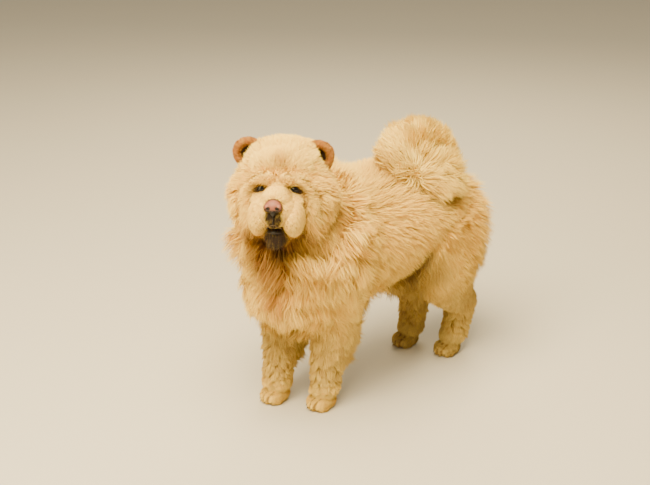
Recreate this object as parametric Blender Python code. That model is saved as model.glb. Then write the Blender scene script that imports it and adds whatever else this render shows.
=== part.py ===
"""A chow chow standing with its head turned to one side, life size and still.

The flesh with half of its coat's depth is modelled whole and parted into named pieces by thin cuts.
The outer half of the long coat is set on those pieces as flat, tapered locks that overlap along its lie.
Metres, +Z up, +X the dog's left, -Y the way that its chest faces.
"""

import math
import random

import bmesh
import bpy
import numpy as np
from mathutils import Matrix, Vector
from mathutils.bvhtree import BVHTree

# Gaps and mesh fineness
GAP = 0.0005
CUT = 0.0004
HOLLOW_GAP = 0.0016
MOST_SWELLING = 3
BODY_VOXEL = 0.006
HEAD_VOXEL = 0.0035
PAW_VOXEL = 0.0032
BODY_TRIANGLES = 1050
HEAD_TRIANGLES = 1150
HOLLOW_TRIANGLES = 500
TAIL_TRIANGLES = 320
PAW_TRIANGLES = 190
TUBE_SIDES = 16
CLAW_SIDES = 6

# How much of the coat's depth is modelled as one solid form with the flesh
COAT_SHARE = 0.5

# Locks of the long coat: how far one bends back towards the skin, and how deep it is rooted
LOCK_BEND = 0.45
LOCK_ROOT = 0.008
LOCK_FLATNESS = 0.22
SEED = 7

# Body, from the ground up, without its coat
BACK_HEIGHT = 0.483
BELLY_HEIGHT = 0.267
CHEST_HALF_WIDTH = 0.105
ELBOW_HEIGHT = 0.235
HOCK_HEIGHT = 0.135
PAW_TOP = 0.050
LEG_RADIUS = 0.027

# Where each paw stands, left and right
FRONT_PAWS = {"left": Vector((0.050, -0.172, 0)), "right": Vector((-0.047, -0.232, 0))}
HIND_PAWS = {"left": Vector((0.050, 0.250, 0)), "right": Vector((-0.055, 0.205, 0))}
SIDES = {"left": 1, "right": -1}
TOE_SPREAD = {"front": 0.0190, "hind": 0.0175}

# Head: where its middle is, how far it turns to the dog's left and how far it lifts
HEAD_AT = Vector((0.041, -0.275, 0.563))
HEAD_TURN = math.radians(43)
HEAD_LIFT = math.radians(13)
EYE_RADIUS = 0.0115
EYE_SPACING = 0.0345
EYE_FORWARD = 0.0800
NOSE_HALF_WIDTH = 0.0185
NOSE_HALF_HEIGHT = 0.0135
NOSE_AT = Vector((0, -0.1500, -0.0290))

# Tail: the line of its curl, over the croup and down on the left side
TAIL_LINE = (
    Vector((0.000, 0.210, 0.435)),
    Vector((0.000, 0.241, 0.500)),
    Vector((0.006, 0.215, 0.552)),
    Vector((0.018, 0.155, 0.572)),
    Vector((0.038, 0.086, 0.560)),
    Vector((0.068, 0.080, 0.526)),
    Vector((0.088, 0.115, 0.498)),
    Vector((0.095, 0.165, 0.485)),
)
TAIL_CURL_MIDDLE = Vector((0.045, 0.150, 0.500))
TAIL_RADIUS = 0.018
TAIL_COAT = 0.042

# Where two pieces meet, the one named later here gives way
GIVING_WAY = (
    "eye", "nose", "claw", "lips", "lower", "ear", "head", "neck", "torso", "thigh", "front", "hind", "tail"
)

# Colours of the coat and the bare parts
CREAM = (0.74, 0.55, 0.29)
PALE_CREAM = (0.80, 0.64, 0.38)
TAN = (0.55, 0.30, 0.11)
NOSE_PINK = (0.24, 0.10, 0.075)
LIP_BLACK = (0.030, 0.024, 0.024)
EYE_BROWN = (0.020, 0.012, 0.008)
CLAW_HORN = (0.32, 0.22, 0.12)


def clear_scene():
    for old in list(bpy.data.objects):
        bpy.data.objects.remove(old)


def finish_material(name, colour, roughness):
    made = bpy.data.materials.new(name)
    made.use_nodes = True
    shader = made.node_tree.nodes["Principled BSDF"]
    shader.inputs["Base Color"].default_value = (*colour, 1)
    shader.inputs["Roughness"].default_value = roughness
    shader.inputs["Metallic"].default_value = 0
    return made


def add_object(name, mesh):
    made = bpy.data.objects.new(name, mesh)
    bpy.context.scene.collection.objects.link(made)
    return made


def mesh_of(name, points, faces):
    mesh = bpy.data.meshes.new(name)
    mesh.from_pydata([tuple(p) for p in points], [], faces)
    mesh.update()
    return mesh


def evaluated(made):
    """The object's mesh as its modifiers leave it, in place of the object's own."""
    bpy.context.view_layer.update()
    graph = bpy.context.evaluated_depsgraph_get()
    mesh = bpy.data.meshes.new_from_object(made.evaluated_get(graph))
    made.modifiers.clear()
    old = made.data
    made.data = mesh
    bpy.data.meshes.remove(old)
    return made


def ball(centre, radii, turn=None, rings=8, coat=0):
    """A closed ellipsoid with a share of its coat. turn is a rotation matrix."""
    radii = [r + coat * COAT_SHARE for r in radii]
    mesh = bpy.data.meshes.new("ball")
    work = bmesh.new()
    bmesh.ops.create_uvsphere(work, u_segments=2 * rings, v_segments=rings, radius=1)
    turned = turn.to_4x4() if turn else Matrix()
    work.transform(Matrix.Translation(centre) @ turned @ Matrix.Diagonal((*radii, 1)))
    work.to_mesh(mesh)
    work.free()
    return add_object("ball", mesh)


def along(points, values, share):
    """The point and the values at a share of a smooth line through the points."""
    last = len(points) - 1
    step = min(int(share * last), last - 1)
    t = share * last - step
    ids = [max(step - 1, 0), step, step + 1, min(step + 2, last)]
    weights = (
        0.5 * (-t + 2 * t * t - t**3),
        0.5 * (2 - 5 * t * t + 3 * t**3),
        0.5 * (t + 4 * t * t - 3 * t**3),
        0.5 * (-t * t + t**3),
    )
    point = sum((points[i] * w for i, w in zip(ids, weights)), Vector())
    value = sum(np.array(values[i]) * w for i, w in zip(ids, weights))
    return point, value


def tube(stations, side=Vector((1, 0, 0)), spans=3, sides=TUBE_SIDES):
    """A closed tube with round ends.

    Each station is a centre, a half width along side, a half depth and the coat's depth.
    """
    points = [Vector(s[0]) for s in stations]
    sizes = [(s[1] + s[3] * COAT_SHARE, s[2] + s[3] * COAT_SHARE) for s in stations]
    count = spans * (len(points) - 1)
    line = [along(points, sizes, i / count) for i in range(count + 1)]
    rings = []
    for i, (centre, size) in enumerate(line):
        ahead = line[min(i + 1, count)][0] - line[max(i - 1, 0)][0]
        rings.append((centre, ahead.normalized(), size))
    ends = []
    for share in (0.92, 0.65):
        lean = math.sqrt(1 - share * share)
        centre, way, size = rings[0]
        ends.append((centre - way * lean * min(size), way, size * share))
    start = list(reversed(ends))
    ends = []
    for share in (0.92, 0.65):
        lean = math.sqrt(1 - share * share)
        centre, way, size = rings[-1]
        ends.append((centre + way * lean * min(size), way, size * share))
    rings = start + rings + ends
    coords = []
    for centre, way, size in rings:
        across = (side - way * side.dot(way)).normalized()
        deep = way.cross(across)
        for k in range(sides):
            turn = 2 * math.pi * k / sides
            coords.append(centre + across * size[0] * math.cos(turn) + deep * size[1] * math.sin(turn))
    faces = [tuple(reversed(range(sides)))]
    for r in range(len(rings) - 1):
        for k in range(sides):
            a, b = r * sides + k, r * sides + (k + 1) % sides
            faces.append((a, b, b + sides, a + sides))
    faces.append(tuple(range(len(coords) - sides, len(coords))))
    return add_object("tube", mesh_of("tube", coords, faces))


def join(pieces):
    """All pieces in one mesh, still separate bodies."""
    work = bmesh.new()
    for piece in pieces:
        copy = piece.data.copy()
        copy.transform(piece.matrix_world)
        work.from_mesh(copy)
        bpy.data.meshes.remove(copy)
        bpy.data.objects.remove(piece)
    mesh = bpy.data.meshes.new("joined")
    work.to_mesh(mesh)
    work.free()
    return add_object("joined", mesh)


def fuse(name, pieces, voxel, rounds, triangles):
    """The pieces melted into one smooth skin of about that many triangles."""
    made = join(pieces)
    melt = made.modifiers.new("melt", "REMESH")
    melt.mode = "VOXEL"
    melt.voxel_size = voxel
    ease = made.modifiers.new("ease", "SMOOTH")
    ease.factor = 0.5
    ease.iterations = rounds
    evaluated(made)
    thin = made.modifiers.new("thin", "DECIMATE")
    thin.ratio = triangles / (2 * len(made.data.polygons))
    evaluated(made)
    made.name = name
    return keep_largest(made)


def keep_largest(made):
    """The object with only its largest closed surface. Surfaces that share just an edge count as two."""
    work = bmesh.new()
    work.from_mesh(made.data)
    bmesh.ops.triangulate(work, faces=work.faces)
    unseen = set(work.faces)
    surfaces = []
    while unseen:
        stack = [unseen.pop()]
        surface = []
        while stack:
            face = stack.pop()
            surface.append(face)
            for edge in face.edges:
                if len(edge.link_faces) != 2:
                    continue
                for near in edge.link_faces:
                    if near in unseen:
                        unseen.remove(near)
                        stack.append(near)
        surfaces.append(surface)
    surfaces.sort(key=lambda s: sum(f.calc_area() for f in s))
    for surface in surfaces[:-1]:
        bmesh.ops.delete(work, geom=surface, context="FACES")
    work.to_mesh(made.data)
    work.free()
    return made


def swollen(made, by=GAP):
    """A copy of the object with its faces moved outwards, also on both sides of a sharp edge."""
    copy = add_object("swollen", made.data.copy())
    work = bmesh.new()
    work.from_mesh(copy.data)
    work.normal_update()
    moves = []
    for vert in work.verts:
        spread = Matrix.Identity(3) * 0.01
        total = Vector()
        for face in vert.link_faces:
            way = face.normal
            spread += Matrix([way * way[i] for i in range(3)])
            total += way
        move = spread.inverted_safe() @ total * by
        moves.append(move * min(1, MOST_SWELLING * by / max(move.length, 1e-9)))
    for vert, move in zip(work.verts, moves):
        vert.co += move
    work.to_mesh(copy.data)
    work.free()
    return copy


def boolean(made, other, operation, solver="MANIFOLD"):
    step = made.modifiers.new(operation.lower(), "BOOLEAN")
    step.operation = operation
    step.solver = solver
    step.object = other
    evaluated(made)
    return made


def cut_by(made, tool):
    boolean(made, tool, "DIFFERENCE")
    bpy.data.objects.remove(tool)
    return keep_largest(made)


def add_to(made, piece):
    boolean(made, piece, "UNION")
    bpy.data.objects.remove(piece)
    return made


def block(low, high, turn=None, about=Vector()):
    """A box between two corners, turned about a point."""
    centre = (Vector(low) + Vector(high)) / 2
    size = Vector(high) - Vector(low)
    mesh = bpy.data.meshes.new("block")
    work = bmesh.new()
    bmesh.ops.create_cube(work, size=1)
    work.transform(Matrix.Translation(centre) @ Matrix.Diagonal((*size, 1)))
    if turn:
        work.transform(Matrix.Translation(about) @ turn.to_4x4() @ Matrix.Translation(-about))
    work.to_mesh(mesh)
    work.free()
    return add_object("block", mesh)


def part_off(whole, name, low, high, turn=None, about=Vector()):
    """Takes what lies in the box off the whole as a new piece, with a thin cut between them."""
    piece = add_object(name, whole.data.copy())
    inside = block(low, high, turn, about)
    boolean(piece, inside, "INTERSECT")
    bpy.data.objects.remove(inside)
    wider = Vector((CUT,) * 3)
    cut_by(whole, block(Vector(low) - wider, Vector(high) + wider, turn, about))
    return keep_largest(piece)


def head_place():
    """The head's own frame in the dog's: its nose along -Y, its left along +X, and up along +Z."""
    return (
        Matrix.Translation(HEAD_AT)
        @ Matrix.Rotation(HEAD_TURN, 4, "Z")
        @ Matrix.Rotation(-HEAD_LIFT, 4, "X")
    )


def mirrored(point, sign):
    return Vector((point[0] * sign, point[1], point[2]))


def lean(axis, degrees):
    return Matrix.Rotation(math.radians(degrees), 3, axis)


def body_pieces():
    """Trunk, chest, neck and legs down to the paws."""
    middle = (BACK_HEIGHT + BELLY_HEIGHT) / 2
    deep = (BACK_HEIGHT - BELLY_HEIGHT) / 2
    wide = CHEST_HALF_WIDTH
    trunk = [
        (Vector((0, -0.225, middle - 0.012)), 0.63 * wide, 0.78 * deep, 0.054),
        (Vector((0, -0.150, middle - 0.006)), 0.88 * wide, 1.03 * deep, 0.054),
        (Vector((0, -0.060, middle - 0.004)), 1.00 * wide, 1.05 * deep, 0.054),
        (Vector((0, 0.030, middle + 0.002)), 1.00 * wide, 0.98 * deep, 0.054),
        (Vector((0, 0.110, middle + 0.012)), 0.93 * wide, 0.86 * deep, 0.052),
        (Vector((0, 0.180, middle + 0.014)), 0.88 * wide, 0.78 * deep, 0.048),
        (Vector((0, 0.230, middle - 0.004)), 0.70 * wide, 0.66 * deep, 0.042),
    ]
    pieces = [tube(trunk)]
    pieces.append(ball(Vector((0, -0.240, 0.325)), (0.068, 0.040, 0.072), coat=0.052))
    pieces.append(ball(Vector((0, 0.100, 0.246)), (0.026, 0.050, 0.022), coat=0.026))
    neck = [
        (Vector((0.000, -0.120, 0.405)), 0.074, 0.078, 0.074),
        (Vector((0.006, -0.190, 0.446)), 0.068, 0.068, 0.086),
        (Vector((0.026, -0.238, 0.504)), 0.060, 0.056, 0.076),
        (Vector((0.036, -0.252, 0.548)), 0.050, 0.048, 0.034),
    ]
    pieces.append(tube(neck))
    for side, sign in SIDES.items():
        pieces += front_leg_pieces(FRONT_PAWS[side], sign)
        pieces += hind_leg_pieces(HIND_PAWS[side], sign)
    return pieces


def front_leg_pieces(paw, sign):
    """Shoulder, leg and the feathering behind the leg."""
    shoulder = Vector((0.080 * sign, -0.150, 0.350))
    elbow = Vector((0.066 * sign, (paw.y - 0.150) / 2 + 0.010, ELBOW_HEIGHT))
    wrist = Vector((paw.x, paw.y + 0.006, 0.085))
    heel = Vector((paw.x, paw.y, 0.030))
    leg = [
        (shoulder.lerp(elbow, 0.3), 0.042, 0.052, 0.022),
        (elbow, 0.036, 0.042, 0.022),
        (elbow.lerp(wrist, 0.5), 0.027, 0.030, 0.018),
        (wrist, LEG_RADIUS, LEG_RADIUS, 0.010),
        (heel, LEG_RADIUS, LEG_RADIUS, 0.008),
    ]
    feathers = [
        (elbow + Vector((0, 0.030, 0.010)), 0.014, 0.022, 0.036),
        (elbow.lerp(wrist, 0.42) + Vector((0, 0.034, 0)), 0.004, 0.014, 0.032),
        (elbow.lerp(wrist, 0.85) + Vector((0, 0.018, 0)), 0.004, 0.010, 0.018),
    ]
    return [ball(shoulder, (0.042, 0.056, 0.086), coat=0.022), tube(leg), tube(feathers)]


def hind_leg_pieces(paw, sign):
    """Thigh, lower leg and the breeches behind the thigh."""
    hip = Vector((0.068 * sign, 0.190, 0.360))
    knee = Vector((0.074 * sign, 0.5 * paw.y + 0.085, 0.240))
    hock = Vector((paw.x * 1.05, paw.y + 0.034, HOCK_HEIGHT))
    ankle = Vector((paw.x, paw.y + 0.022, 0.060))
    heel = Vector((paw.x, paw.y + 0.012, 0.028))
    leg = [
        (hip, 0.036, 0.068, 0.040),
        (knee, 0.036, 0.056, 0.034),
        (knee.lerp(hock, 0.62), 0.028, 0.036, 0.020),
        (hock, 0.024, 0.028, 0.014),
        (ankle, 0.024, 0.026, 0.010),
        (heel, 0.024, 0.026, 0.008),
    ]
    breeches = ball(Vector((0.064 * sign, 0.222, 0.340)), (0.038, 0.050, 0.078), coat=0.044)
    return [breeches, tube(leg)]


def head_pieces():
    """Skull, cheeks, padded muzzle, brow rolls and cheek folds, in the head's own frame."""
    pieces = [
        ball(Vector((0, 0.012, 0.026)), (0.095, 0.094, 0.074)),
        ball(Vector((0, -0.046, 0.032)), (0.066, 0.046, 0.048)),
        ball(Vector((0, -0.012, -0.050)), (0.046, 0.048, 0.036), coat=0.034),
        ball(Vector((0, -0.100, -0.020)), (0.034, 0.051, 0.029)),
        ball(Vector((0, -0.098, -0.040)), (0.048, 0.055, 0.037)),
        ball(Vector((0, -0.132, -0.046)), (0.022, 0.017, 0.027)),
    ]
    for sign in SIDES.values():
        pieces.append(ball(mirrored((0.046, 0.000, -0.020), sign), (0.036, 0.050, 0.050), coat=0.036))
        pieces.append(ball(mirrored((0.028, -0.104, -0.054), sign), (0.0280, 0.040, 0.0365)))
        pieces.append(ball(mirrored((0.033, -0.083, -0.024), sign), (0.026, 0.031, 0.020)))
        brow = [
            (mirrored((0.010, -0.094, 0.022), sign), 0.012, 0.012, 0),
            (mirrored((0.026, -0.093, 0.024), sign), 0.015, 0.014, 0),
            (mirrored((0.046, -0.082, 0.013), sign), 0.017, 0.016, 0),
            (mirrored((0.058, -0.068, -0.008), sign), 0.018, 0.017, 0),
            (mirrored((0.062, -0.058, -0.040), sign), 0.018, 0.016, 0),
            (mirrored((0.060, -0.050, -0.070), sign), 0.015, 0.013, 0),
        ]
        pieces.append(tube(brow, side=Vector((0, 1, 0))))
    return pieces


def eye_at(sign):
    return Vector((EYE_SPACING * sign, -EYE_FORWARD, 0.0005))


def lid(sign, rise):
    """One lid as a thin roll round the eyeball, from the inner corner to the outer one."""
    centre = eye_at(sign)
    stations = []
    for k in range(5):
        share = k / 4
        across = (share - 0.5) * 2 * 0.0105
        up = rise * math.sin(math.pi * share) - 0.0044 * (share - 0.5)
        out = math.sqrt(max((EYE_RADIUS + 0.0006) ** 2 - across**2 - up**2, 1e-6))
        spot = centre + Vector((across * sign, -out, up))
        stations.append((spot, 0.0026, 0.0022, 0))
    return tube(stations, side=Vector((0, 1, 0)), spans=1, sides=6)


def jaw_piece():
    """The lower lip and the chin with its beard."""
    lip = [
        (Vector((0, -0.030, -0.088)), 0.026, 0.016, 0),
        (Vector((0, -0.075, -0.090)), 0.025, 0.017, 0),
        (Vector((0, -0.116, -0.085)), 0.019, 0.012, 0),
    ]
    chin = [
        (Vector((0, -0.050, -0.098)), 0.020, 0.016, 0.008),
        (Vector((0, -0.094, -0.104)), 0.013, 0.014, 0.010),
    ]
    return add_to(tube(lip, spans=1, sides=12), tube(chin, spans=1, sides=12))


def lips_piece():
    """The black edge of the upper lip, round under both flews and up to the notch below the nose."""
    half = (
        Vector((0.038, -0.060, -0.080)),
        Vector((0.044, -0.098, -0.087)),
        Vector((0.028, -0.132, -0.088)),
        Vector((0.010, -0.145, -0.076)),
    )
    line = [mirrored(spot, -1) for spot in half] + [Vector((0, -0.147, -0.071))] + list(reversed(half))
    return tube([(spot, 0.0028, 0.0028, 0) for spot in line], side=Vector((0, 0, 1)), spans=1, sides=6)


def nose_piece():
    """The bare nose pad with its two comma-shaped nostrils."""
    pad = ball(NOSE_AT, (NOSE_HALF_WIDTH, 0.0120, NOSE_HALF_HEIGHT), rings=7)
    add_to(pad, ball(NOSE_AT + Vector((0, 0.004, 0.004)), (0.0150, 0.0110, 0.0110), rings=6))
    for sign in SIDES.values():
        hole = [
            (NOSE_AT + mirrored((0.0075, -0.0130, -0.0020), sign), 0.0030, 0.0036, 0),
            (NOSE_AT + mirrored((0.0110, -0.0105, -0.0050), sign), 0.0024, 0.0028, 0),
            (NOSE_AT + mirrored((0.0160, -0.0080, -0.0060), sign), 0.0014, 0.0018, 0),
        ]
        cut_by(pad, tube(hole, side=Vector((0, 0, 1)), spans=1, sides=6))
    groove = block(NOSE_AT + Vector((-0.0007, -0.02, -0.02)), NOSE_AT + Vector((0.0007, -0.0108, -0.001)))
    return cut_by(pad, groove)


def ear_piece(sign):
    """A small thick ear with a round tip and a cupped front."""
    base = mirrored((0.0680, 0.004, 0.0590), sign)
    along_base = mirrored((0.70, 0.10, -0.70), sign).normalized()
    rise = mirrored((0.66, -0.22, 0.72), sign)
    rise = (rise - along_base * rise.dot(along_base)).normalized()
    front = along_base.cross(rise) * -sign
    turn = Matrix((along_base, rise, along_base.cross(rise))).transposed()
    shell = ball(base + rise * 0.004, (0.0330, 0.0370, 0.0120), turn, rings=7)
    cup = ball(base + rise * 0.004 + front * 0.0105, (0.0235, 0.0270, 0.0100), turn, rings=6)
    for v in shell.data.vertices:
        height = (v.co - base).dot(rise) / 0.041
        if height > 0:
            sideways = (v.co - base).dot(along_base)
            v.co -= along_base * sideways * 0.22 * height * height
    return cut_by(shell, cup)


def tail_whole():
    """The curled tail, from inside the rump to its tip."""
    stations = []
    for k, centre in enumerate(TAIL_LINE):
        thin = 1 - 0.3 * (k / (len(TAIL_LINE) - 1)) ** 3
        stations.append((centre, TAIL_RADIUS * thin, TAIL_RADIUS * thin, TAIL_COAT * thin))
    return fuse("tail_plume", [tube(stations)], BODY_VOXEL, 2, TAIL_TRIANGLES)


def paw_whole(name, paw, spread, back):
    """A cat-like paw: pad, four toes and the lowest length of the leg, flat under its sole."""
    ankle = paw + Vector((0, 0.018 * back, 0.075))
    heel = paw + Vector((0, 0.008 * back, 0.030))
    shin = [(ankle, 0.025, 0.026, 0.009), (heel, 0.024, 0.025, 0.008)]
    pieces = [tube(shin), ball(paw + Vector((0, 0.000, 0.019)), (0.026, 0.029, 0.024), coat=0.004)]
    for place in toe_places():
        spot = paw + Vector((place * spread, -0.026 + 0.009 * place * place, 0.0165))
        pieces.append(ball(spot, (0.0100, 0.0175, 0.0170), lean("Z", -12 * place), coat=0.002))
    made = fuse(name, pieces, PAW_VOXEL, 2, PAW_TRIANGLES)
    cut_by(made, block((-0.5, -0.5, -0.2), (0.5, 0.5, 0)))
    return cut_by(made, block((-0.5, -0.5, PAW_TOP - CUT), (0.5, 0.5, 0.3)))


def toe_places():
    """The four toes from one side of the paw to the other, -1 to 1."""
    return [(k - 1.5) / 1.5 for k in range(4)]


def claw(paw, spread, place):
    """One blunt claw, its root in the toe and its tip just off the ground."""
    spot = paw + Vector((place * spread * 1.05, -0.0430 + 0.010 * place * place, 0.0105))
    root = Vector((0, 0.008, 0.0030))
    tip = Vector((0, -0.0050, -0.0035))
    coords = []
    for centre, radius in ((root, 0.0028), (Vector(), 0.0024), (tip, 0.0012)):
        for k in range(CLAW_SIDES):
            turn = 2 * math.pi * k / CLAW_SIDES
            round_it = Vector((0.85 * radius * math.cos(turn), 0, radius * math.sin(turn)))
            coords.append(spot + centre + round_it)
    faces = [tuple(range(CLAW_SIDES)), tuple(reversed(range(2 * CLAW_SIDES, 3 * CLAW_SIDES)))]
    for ring in (0, CLAW_SIDES):
        for k in range(CLAW_SIDES):
            near = ring + (k + 1) % CLAW_SIDES
            faces.append((ring + k, ring + k + CLAW_SIDES, near + CLAW_SIDES, near))
    made = add_object("claw", mesh_of("claw", coords, faces))
    if signed_volume(made) < 0:
        made.data.flip_normals()
    return made


def lock(root, normal, face, flow, length, width, lift, sway=0.0):
    """A flat, tapered lock, its flat side to face, that leaves the skin and bends along the coat's lie."""
    flow = (flow - face * flow.dot(face)).normalized()
    across = face.cross(flow).normalized()
    rise = math.sin(lift)
    out = math.cos(lift)

    def spine(t):
        ahead = flow * t * out + across * sway * t * t
        off = face * rise * (t - LOCK_BEND * t * t)
        return root + length * (ahead + off) - normal * LOCK_ROOT * (1 - t)

    coords = []
    for t, share in ((-0.08, 0.64), (0.34, 1.00), (0.72, 0.68)):
        ahead = (spine(t + 0.05) - spine(t - 0.05)).normalized()
        side = (across - ahead * across.dot(ahead)).normalized()
        up = side.cross(ahead)
        half = 0.5 * width * share
        thick = LOCK_FLATNESS * half
        middle = spine(t)
        under = middle - up * thick
        coords += [under + side * half, middle + up * thick, under - side * half]
    coords.append(spine(1.0))
    faces = [(2, 1, 0)]
    for ring in (0, 3):
        faces += [(ring + k, ring + (k + 1) % 3, ring + 3 + (k + 1) % 3, ring + 3 + k) for k in range(3)]
    faces += [(6 + k, 6 + (k + 1) % 3, 9) for k in range(3)]
    made = add_object("lock", mesh_of("lock", coords, faces))
    if signed_volume(made) < 0:
        made.data.flip_normals()
    return made


def signed_volume(made):
    total = 0.0
    for face in made.data.polygons:
        spots = [made.data.vertices[i].co for i in face.vertices]
        for k in range(1, len(spots) - 1):
            total += spots[0].dot(spots[k].cross(spots[k + 1])) / 6
    return total


def union_all(made, pieces):
    """The object with all the pieces melted into it, and only its largest closed surface."""
    if not pieces:
        return made
    group = bpy.data.collections.new("locks")
    for piece in pieces:
        group.objects.link(piece)
    step = made.modifiers.new("locks", "BOOLEAN")
    step.operation = "UNION"
    step.solver = "EXACT"
    step.operand_type = "COLLECTION"
    step.collection = group
    evaluated(made)
    for piece in pieces:
        bpy.data.objects.remove(piece)
    bpy.data.collections.remove(group)
    return keep_largest(made)


def coat_rows(start, end, rows, turn_from, turn_to, count, side=Vector((1, 0, 0)), up=Vector((0, 0, 1))):
    """Rays from a line out through the skin: rows along it, staggered, and turns round it from up."""
    for row in range(rows):
        origin = start.lerp(end, row / max(rows - 1, 1))
        for k in range(count):
            share = (k + 0.5 * (row % 2) + 0.25) / count
            turn = turn_from + (turn_to - turn_from) * share
            yield origin, side * math.sin(turn) + up * math.cos(turn)


def plant(skin, rays, flow_at, length, width, lift, chance, face=Vector(), turned=0):
    """Locks where the rays leave the skin, each a little different.

    turned is how far their flat sides turn from the skin's own direction to face.
    """
    made = []
    for origin, way in rays:
        spot, normal, _, _ = skin.ray_cast(origin, way)
        if spot is None:
            continue
        size = chance.uniform(0.85, 1.15)
        flow = flow_at(spot, normal) + Vector([chance.uniform(-0.15, 0.15) for _ in range(3)])
        angle = math.radians(lift * chance.uniform(0.85, 1.15))
        sway = chance.uniform(-0.12, 0.12)
        wide = width * chance.uniform(0.9, 1.1)
        up = (normal * (1 - turned) + face * turned).normalized()
        made.append((spot, lock(spot, normal, up, flow, length * size, wide, angle, sway)))
    return made


def body_locks(skin, chance):
    """The locks of ruff, trunk, belly, breeches and legs."""
    full = 2 * math.pi
    forward = Vector((0, -1, 0))
    ruff_face = Vector((math.sin(HEAD_TURN), -math.cos(HEAD_TURN), 0.2))
    made = []

    def ruff_flow(spot, normal):
        away = Vector((spot.x - HEAD_AT.x, 0, spot.z - HEAD_AT.z)).normalized()
        return Vector((0, 0.45, -0.60)) + away * 0.50

    def trunk_flow(spot, normal):
        rear = min(max((spot.y - 0.08) / 0.14, 0), 1)
        return Vector((0, 0.80 - 0.60 * rear, -0.50 - 0.50 * rear))

    def thigh_flow(spot, normal):
        return Vector((0, 0.50, -0.85))

    def rump_flow(spot, normal):
        return Vector((0, 0.10, -1.00))

    back_up = Vector((0, 0.64, 0.77))
    throat = Vector((0.020, -0.215, 0.485))
    mane = coat_rows(throat, throat, 1, 0.10 * full, 0.90 * full, 8, up=back_up)
    made += plant(skin, mane, ruff_flow, 0.130, 0.072, 30, chance, ruff_face, 0.5)
    nape = Vector((0.008, -0.165, 0.440))
    withers = Vector((0, -0.110, 0.400))
    collar = coat_rows(nape, withers, 2, -0.5 * full, 0.5 * full, 8, up=back_up)
    made += plant(skin, collar, ruff_flow, 0.118, 0.074, 24, chance, ruff_face, 0.25)
    chest = Vector((0, -0.200, 0.330))
    brisket = Vector((0, -0.200, 0.265))
    bib = coat_rows(chest, brisket, 2, -0.16 * full, 0.16 * full, 3, up=forward)
    made += plant(skin, bib, ruff_flow, 0.100, 0.062, 24, chance)
    ribs = Vector((0, -0.015, 0.375))
    loin = Vector((0, 0.145, 0.380))
    trunk = coat_rows(ribs, loin, 4, -0.34 * full, 0.34 * full, 7)
    made += plant(skin, trunk, trunk_flow, 0.118, 0.066, 20, chance)
    belly = coat_rows(Vector((0, -0.050, 0.330)), Vector((0, 0.080, 0.320)), 2, 0.42 * full, 0.62 * full, 2)
    made += plant(skin, belly, trunk_flow, 0.080, 0.052, 26, chance)
    croup = Vector((0, 0.180, 0.435))
    fork = Vector((0, 0.180, 0.310))
    rump = coat_rows(croup, fork, 3, -0.12 * full, 0.12 * full, 3, up=-forward)
    made += plant(skin, rump, rump_flow, 0.100, 0.060, 18, chance)
    for side, sign in SIDES.items():
        hip = Vector((0.070 * sign, 0.190, 0.305))
        knee = Vector((0.074 * sign, 0.180, 0.228))
        thigh = coat_rows(hip, knee, 2, 0.04 * full * sign, 0.54 * full * sign, 3, up=forward)
        made += plant(skin, thigh, thigh_flow, 0.095, 0.064, 24, chance)
        shank = HIND_PAWS[side]
        top = Vector((0.070 * sign, shank.y + 0.020, 0.170))
        low = Vector((shank.x, shank.y + 0.024, 0.125))
        hock = coat_rows(top, low, 2, 0.40 * full, 0.60 * full, 1, up=forward)
        made += plant(skin, hock, thigh_flow, 0.050, 0.034, 22, chance)
        paw = FRONT_PAWS[side]
        elbow = Vector((0.066 * sign, paw.y + 0.050, 0.232))
        wrist = Vector((paw.x, paw.y + 0.010, 0.110))
        feathers = coat_rows(elbow, wrist, 3, 0.36 * full * sign, 0.58 * full * sign, 2, up=forward)
        made += plant(skin, feathers, trunk_flow, 0.060, 0.034, 28, chance)
    return made


def tail_locks(skin, chance):
    """The plume: locks all round the curl, lying towards its tip."""
    made = []
    for row in range(4):
        share = 0.16 + 0.72 * row / 3
        centre, _ = along(TAIL_LINE, [(0,)] * len(TAIL_LINE), share)
        ahead = (along(TAIL_LINE, [(0,)] * len(TAIL_LINE), share + 0.05)[0] - centre).normalized()
        side = ahead.cross(Vector((1, 0.2, 0))).normalized()
        turns = [2 * math.pi * (k + 0.5 * (row % 2)) / 5 for k in range(5)]
        ways = [side * math.cos(turn) + ahead.cross(side) * math.sin(turn) for turn in turns]
        inwards = (TAIL_CURL_MIDDLE - centre).normalized()
        rays = [(centre, way) for way in ways if way.dot(inwards) < 0.6]
        lift = (10, 28, 28, 22)[row]
        made += plant(skin, rays, lambda spot, normal, ahead=ahead: ahead, 0.115, 0.050, lift, chance)
    return made


def cheek_locks(skin, chance):
    """Locks on the cheeks, in the head's own frame, their flat sides to the front."""
    full = 2 * math.pi
    forward = Vector((0, -1, 0.1))
    made = []
    for sign in SIDES.values():
        def down_and_out(spot, normal, sign=sign):
            return Vector((0.75 * sign, 0.15, -0.65))

        start = Vector((0.030 * sign, 0.005, -0.010))
        rays = coat_rows(start, start, 1, 0.15 * full * sign, 0.45 * full * sign, 5)
        made += plant(skin, rays, down_and_out, 0.056, 0.048, 10, chance, forward, 0.6)
    return made


def give_locks(nodes, names, locks):
    """Each lock goes to the node whose surface holds its root."""
    trees = {name: surface_tree(nodes[name]) for name in names}
    shares = {name: [] for name in names}
    for spot, piece in locks:
        nearest = min(names, key=lambda name: trees[name].find_nearest(spot)[3])
        shares[nearest].append(piece)
    for name, pieces in shares.items():
        union_all(nodes[name], pieces)


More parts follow.
